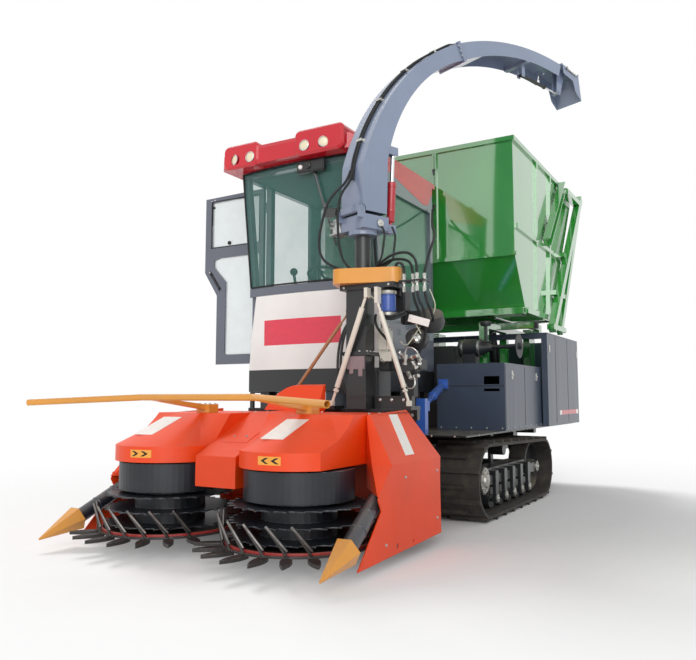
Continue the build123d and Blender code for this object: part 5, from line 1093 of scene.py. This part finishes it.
# ---- boxes behind the cab -------------------------------------------------------------------
# Sheet-metal covers over the drive: seams, latches and a marker strip on painted steel.  The
# drive shaft's end shows in its hole, with a blue universal-jointed shaft in front.
covers = bmesh.new()
for z in (1.12, 1.128):
    slab(covers, (0.385, -0.1815, z), (1.045, -0.1795, z + 0.003), 0.0)
slab(covers, (1.0525, -0.165, 0.735), (1.0545, -0.16, 1.32), 0.0)
slab(covers, (1.0525, 0.45, 0.735), (1.0545, 0.455, 1.32), 0.0)
for y in (1.4, 1.95):
    slab(covers, (1.1275, y, 0.74), (1.1295, y + 0.004, 1.69), 0.0)
    slab(covers, (-1.1295, y, 0.74), (-1.1275, y + 0.004, 1.69), 0.0)
piece("cover_seams", covers, seal)
latches = bmesh.new()
for y in (0.02, 0.85):
    slab(latches, (1.053, y, 1.19), (1.061, y + 0.035, 1.27), 0.003)
    turned(latches, [(0.012, 0), (0.012, 0.006), (0.006, 0.01)],
        standing((1.061, y + 0.017, 1.23), (1, 0, 0)), 20)
for y in (1.12, 2.4):
    for side in (-1, 1):
        slab(latches, (side * 1.132 - 0.004, y, 1.5), (side * 1.132 + 0.004, y + 0.035, 1.58), 0.003)
bolts(latches, [(0.42 + 0.15 * n, -0.18, 0.735) for n in range(5)], (0, -1, 0), 0.008)
bolts(latches, [(1.053, -0.12 + 0.19 * n, 0.735) for n in range(7)], (1, 0, 0), 0.008)
piece("cover_latches", latches, zinc)
strip_red, strip_white = bmesh.new(), bmesh.new()
for side in (-1, 1):
    for n in range(10):
        y = 1.54 + 0.09 * n
        corners = [(side * 1.1285, y, 0.825), (side * 1.1285, y + 0.09, 0.825),
            (side * 1.1285, y + 0.09, 0.875), (side * 1.1285, y, 0.875)]
        film(strip_white if n in (0, 9) else strip_red, corners if side > 0 else corners[::-1], 0.0008)
piece("marker_strip_red", strip_red, printed_film("red_marker_film", "#c8323f", 0.6))
piece("marker_strip_white", strip_white, white_film)
shaft_end = bmesh.new()
turned(shaft_end, [(0.04, 0.02), (0.04, 0.004), (0.03, -0.001), (0.03, -0.006), (0.012, -0.01)],
    standing((0.433, -0.178, 1.146), (0, 1, 0)), 32)
piece("drive_shaft_end", shaft_end, cast)
shaft_blue = painted("blue_drive_shaft_enamel", "#3a66bd", 0.25, 0.5, 0.1)
dress(shaft_blue, "cardan_shaft")
muffler_black = painted("heat_resisting_black", "#1b2124", 0.5, 0.1, 0.35, worn="#6b5547", chips=0.9)
dress(muffler_black, "muffler")
mufflers = bmesh.new()
for x in (0.425, 0.6):
    turned(mufflers, [(0.0915, 0), (0.0935, 0.002), (0.0935, 0.022), (0.0915, 0.024)],
        standing((x, 0.41, 1.526), (1, 0, 0)), 48)
piece("muffler_bands", mufflers, zinc)
cap = bmesh.new()
turned(cap, [(0.05, 0), (0.052, 0.012), (0.06, 0.018), (0.06, 0.038), (0.045, 0.046), (0.012, 0.049)],
    standing((0.715, 0.3, 1.735), (0, 0, 1)), 36)
turned(cap, [(0.016, -0.16), (0.016, 0)], standing((0.715, 0.3, 1.735), (0, 0, 1)), 20)
slab(cap, (0.66, 0.28, 1.56), (0.77, 0.32, 1.58), 0.003)
piece("breather_cap", cap, muffler_black)

# ---- bin ------------------------------------------------------------------------------------
# Folded green sheet stiffened by pressed channels and a box-section tipping frame.  It has
# high-gloss enamel, and two turned latches hold its front door.
bin_green = painted("green_gloss_enamel", "#2f9438", 0.14, 1.0, 0.05, 0.07, "#7d8a6d", 0.2, 2.6)
dress(bin_green, "bin_body", "bin_base", "bin_side_frames", "bin_support")
plugs = bmesh.new()
for side in (-1, 1):
    slab(plugs, (side * 1.086 - 0.018, 0.766, 1.731), (side * 1.086 + 0.018, 0.839, 1.804), 0.004)
piece("support_beam_plugs", plugs, vinyl_black)
latch = bmesh.new()
for z in (3.357, 2.985):
    turned(latch, [(0.018, 0), (0.018, 0.02), (0.012, 0.024)], standing((0.255, 0.118, z), (0, -1, 0)), 20)
    slab(latch, (0.245, 0.09, z - 0.05), (0.265, 0.1, z + 0.01), 0.003)
piece("bin_door_latches", latch, cast, "bin")
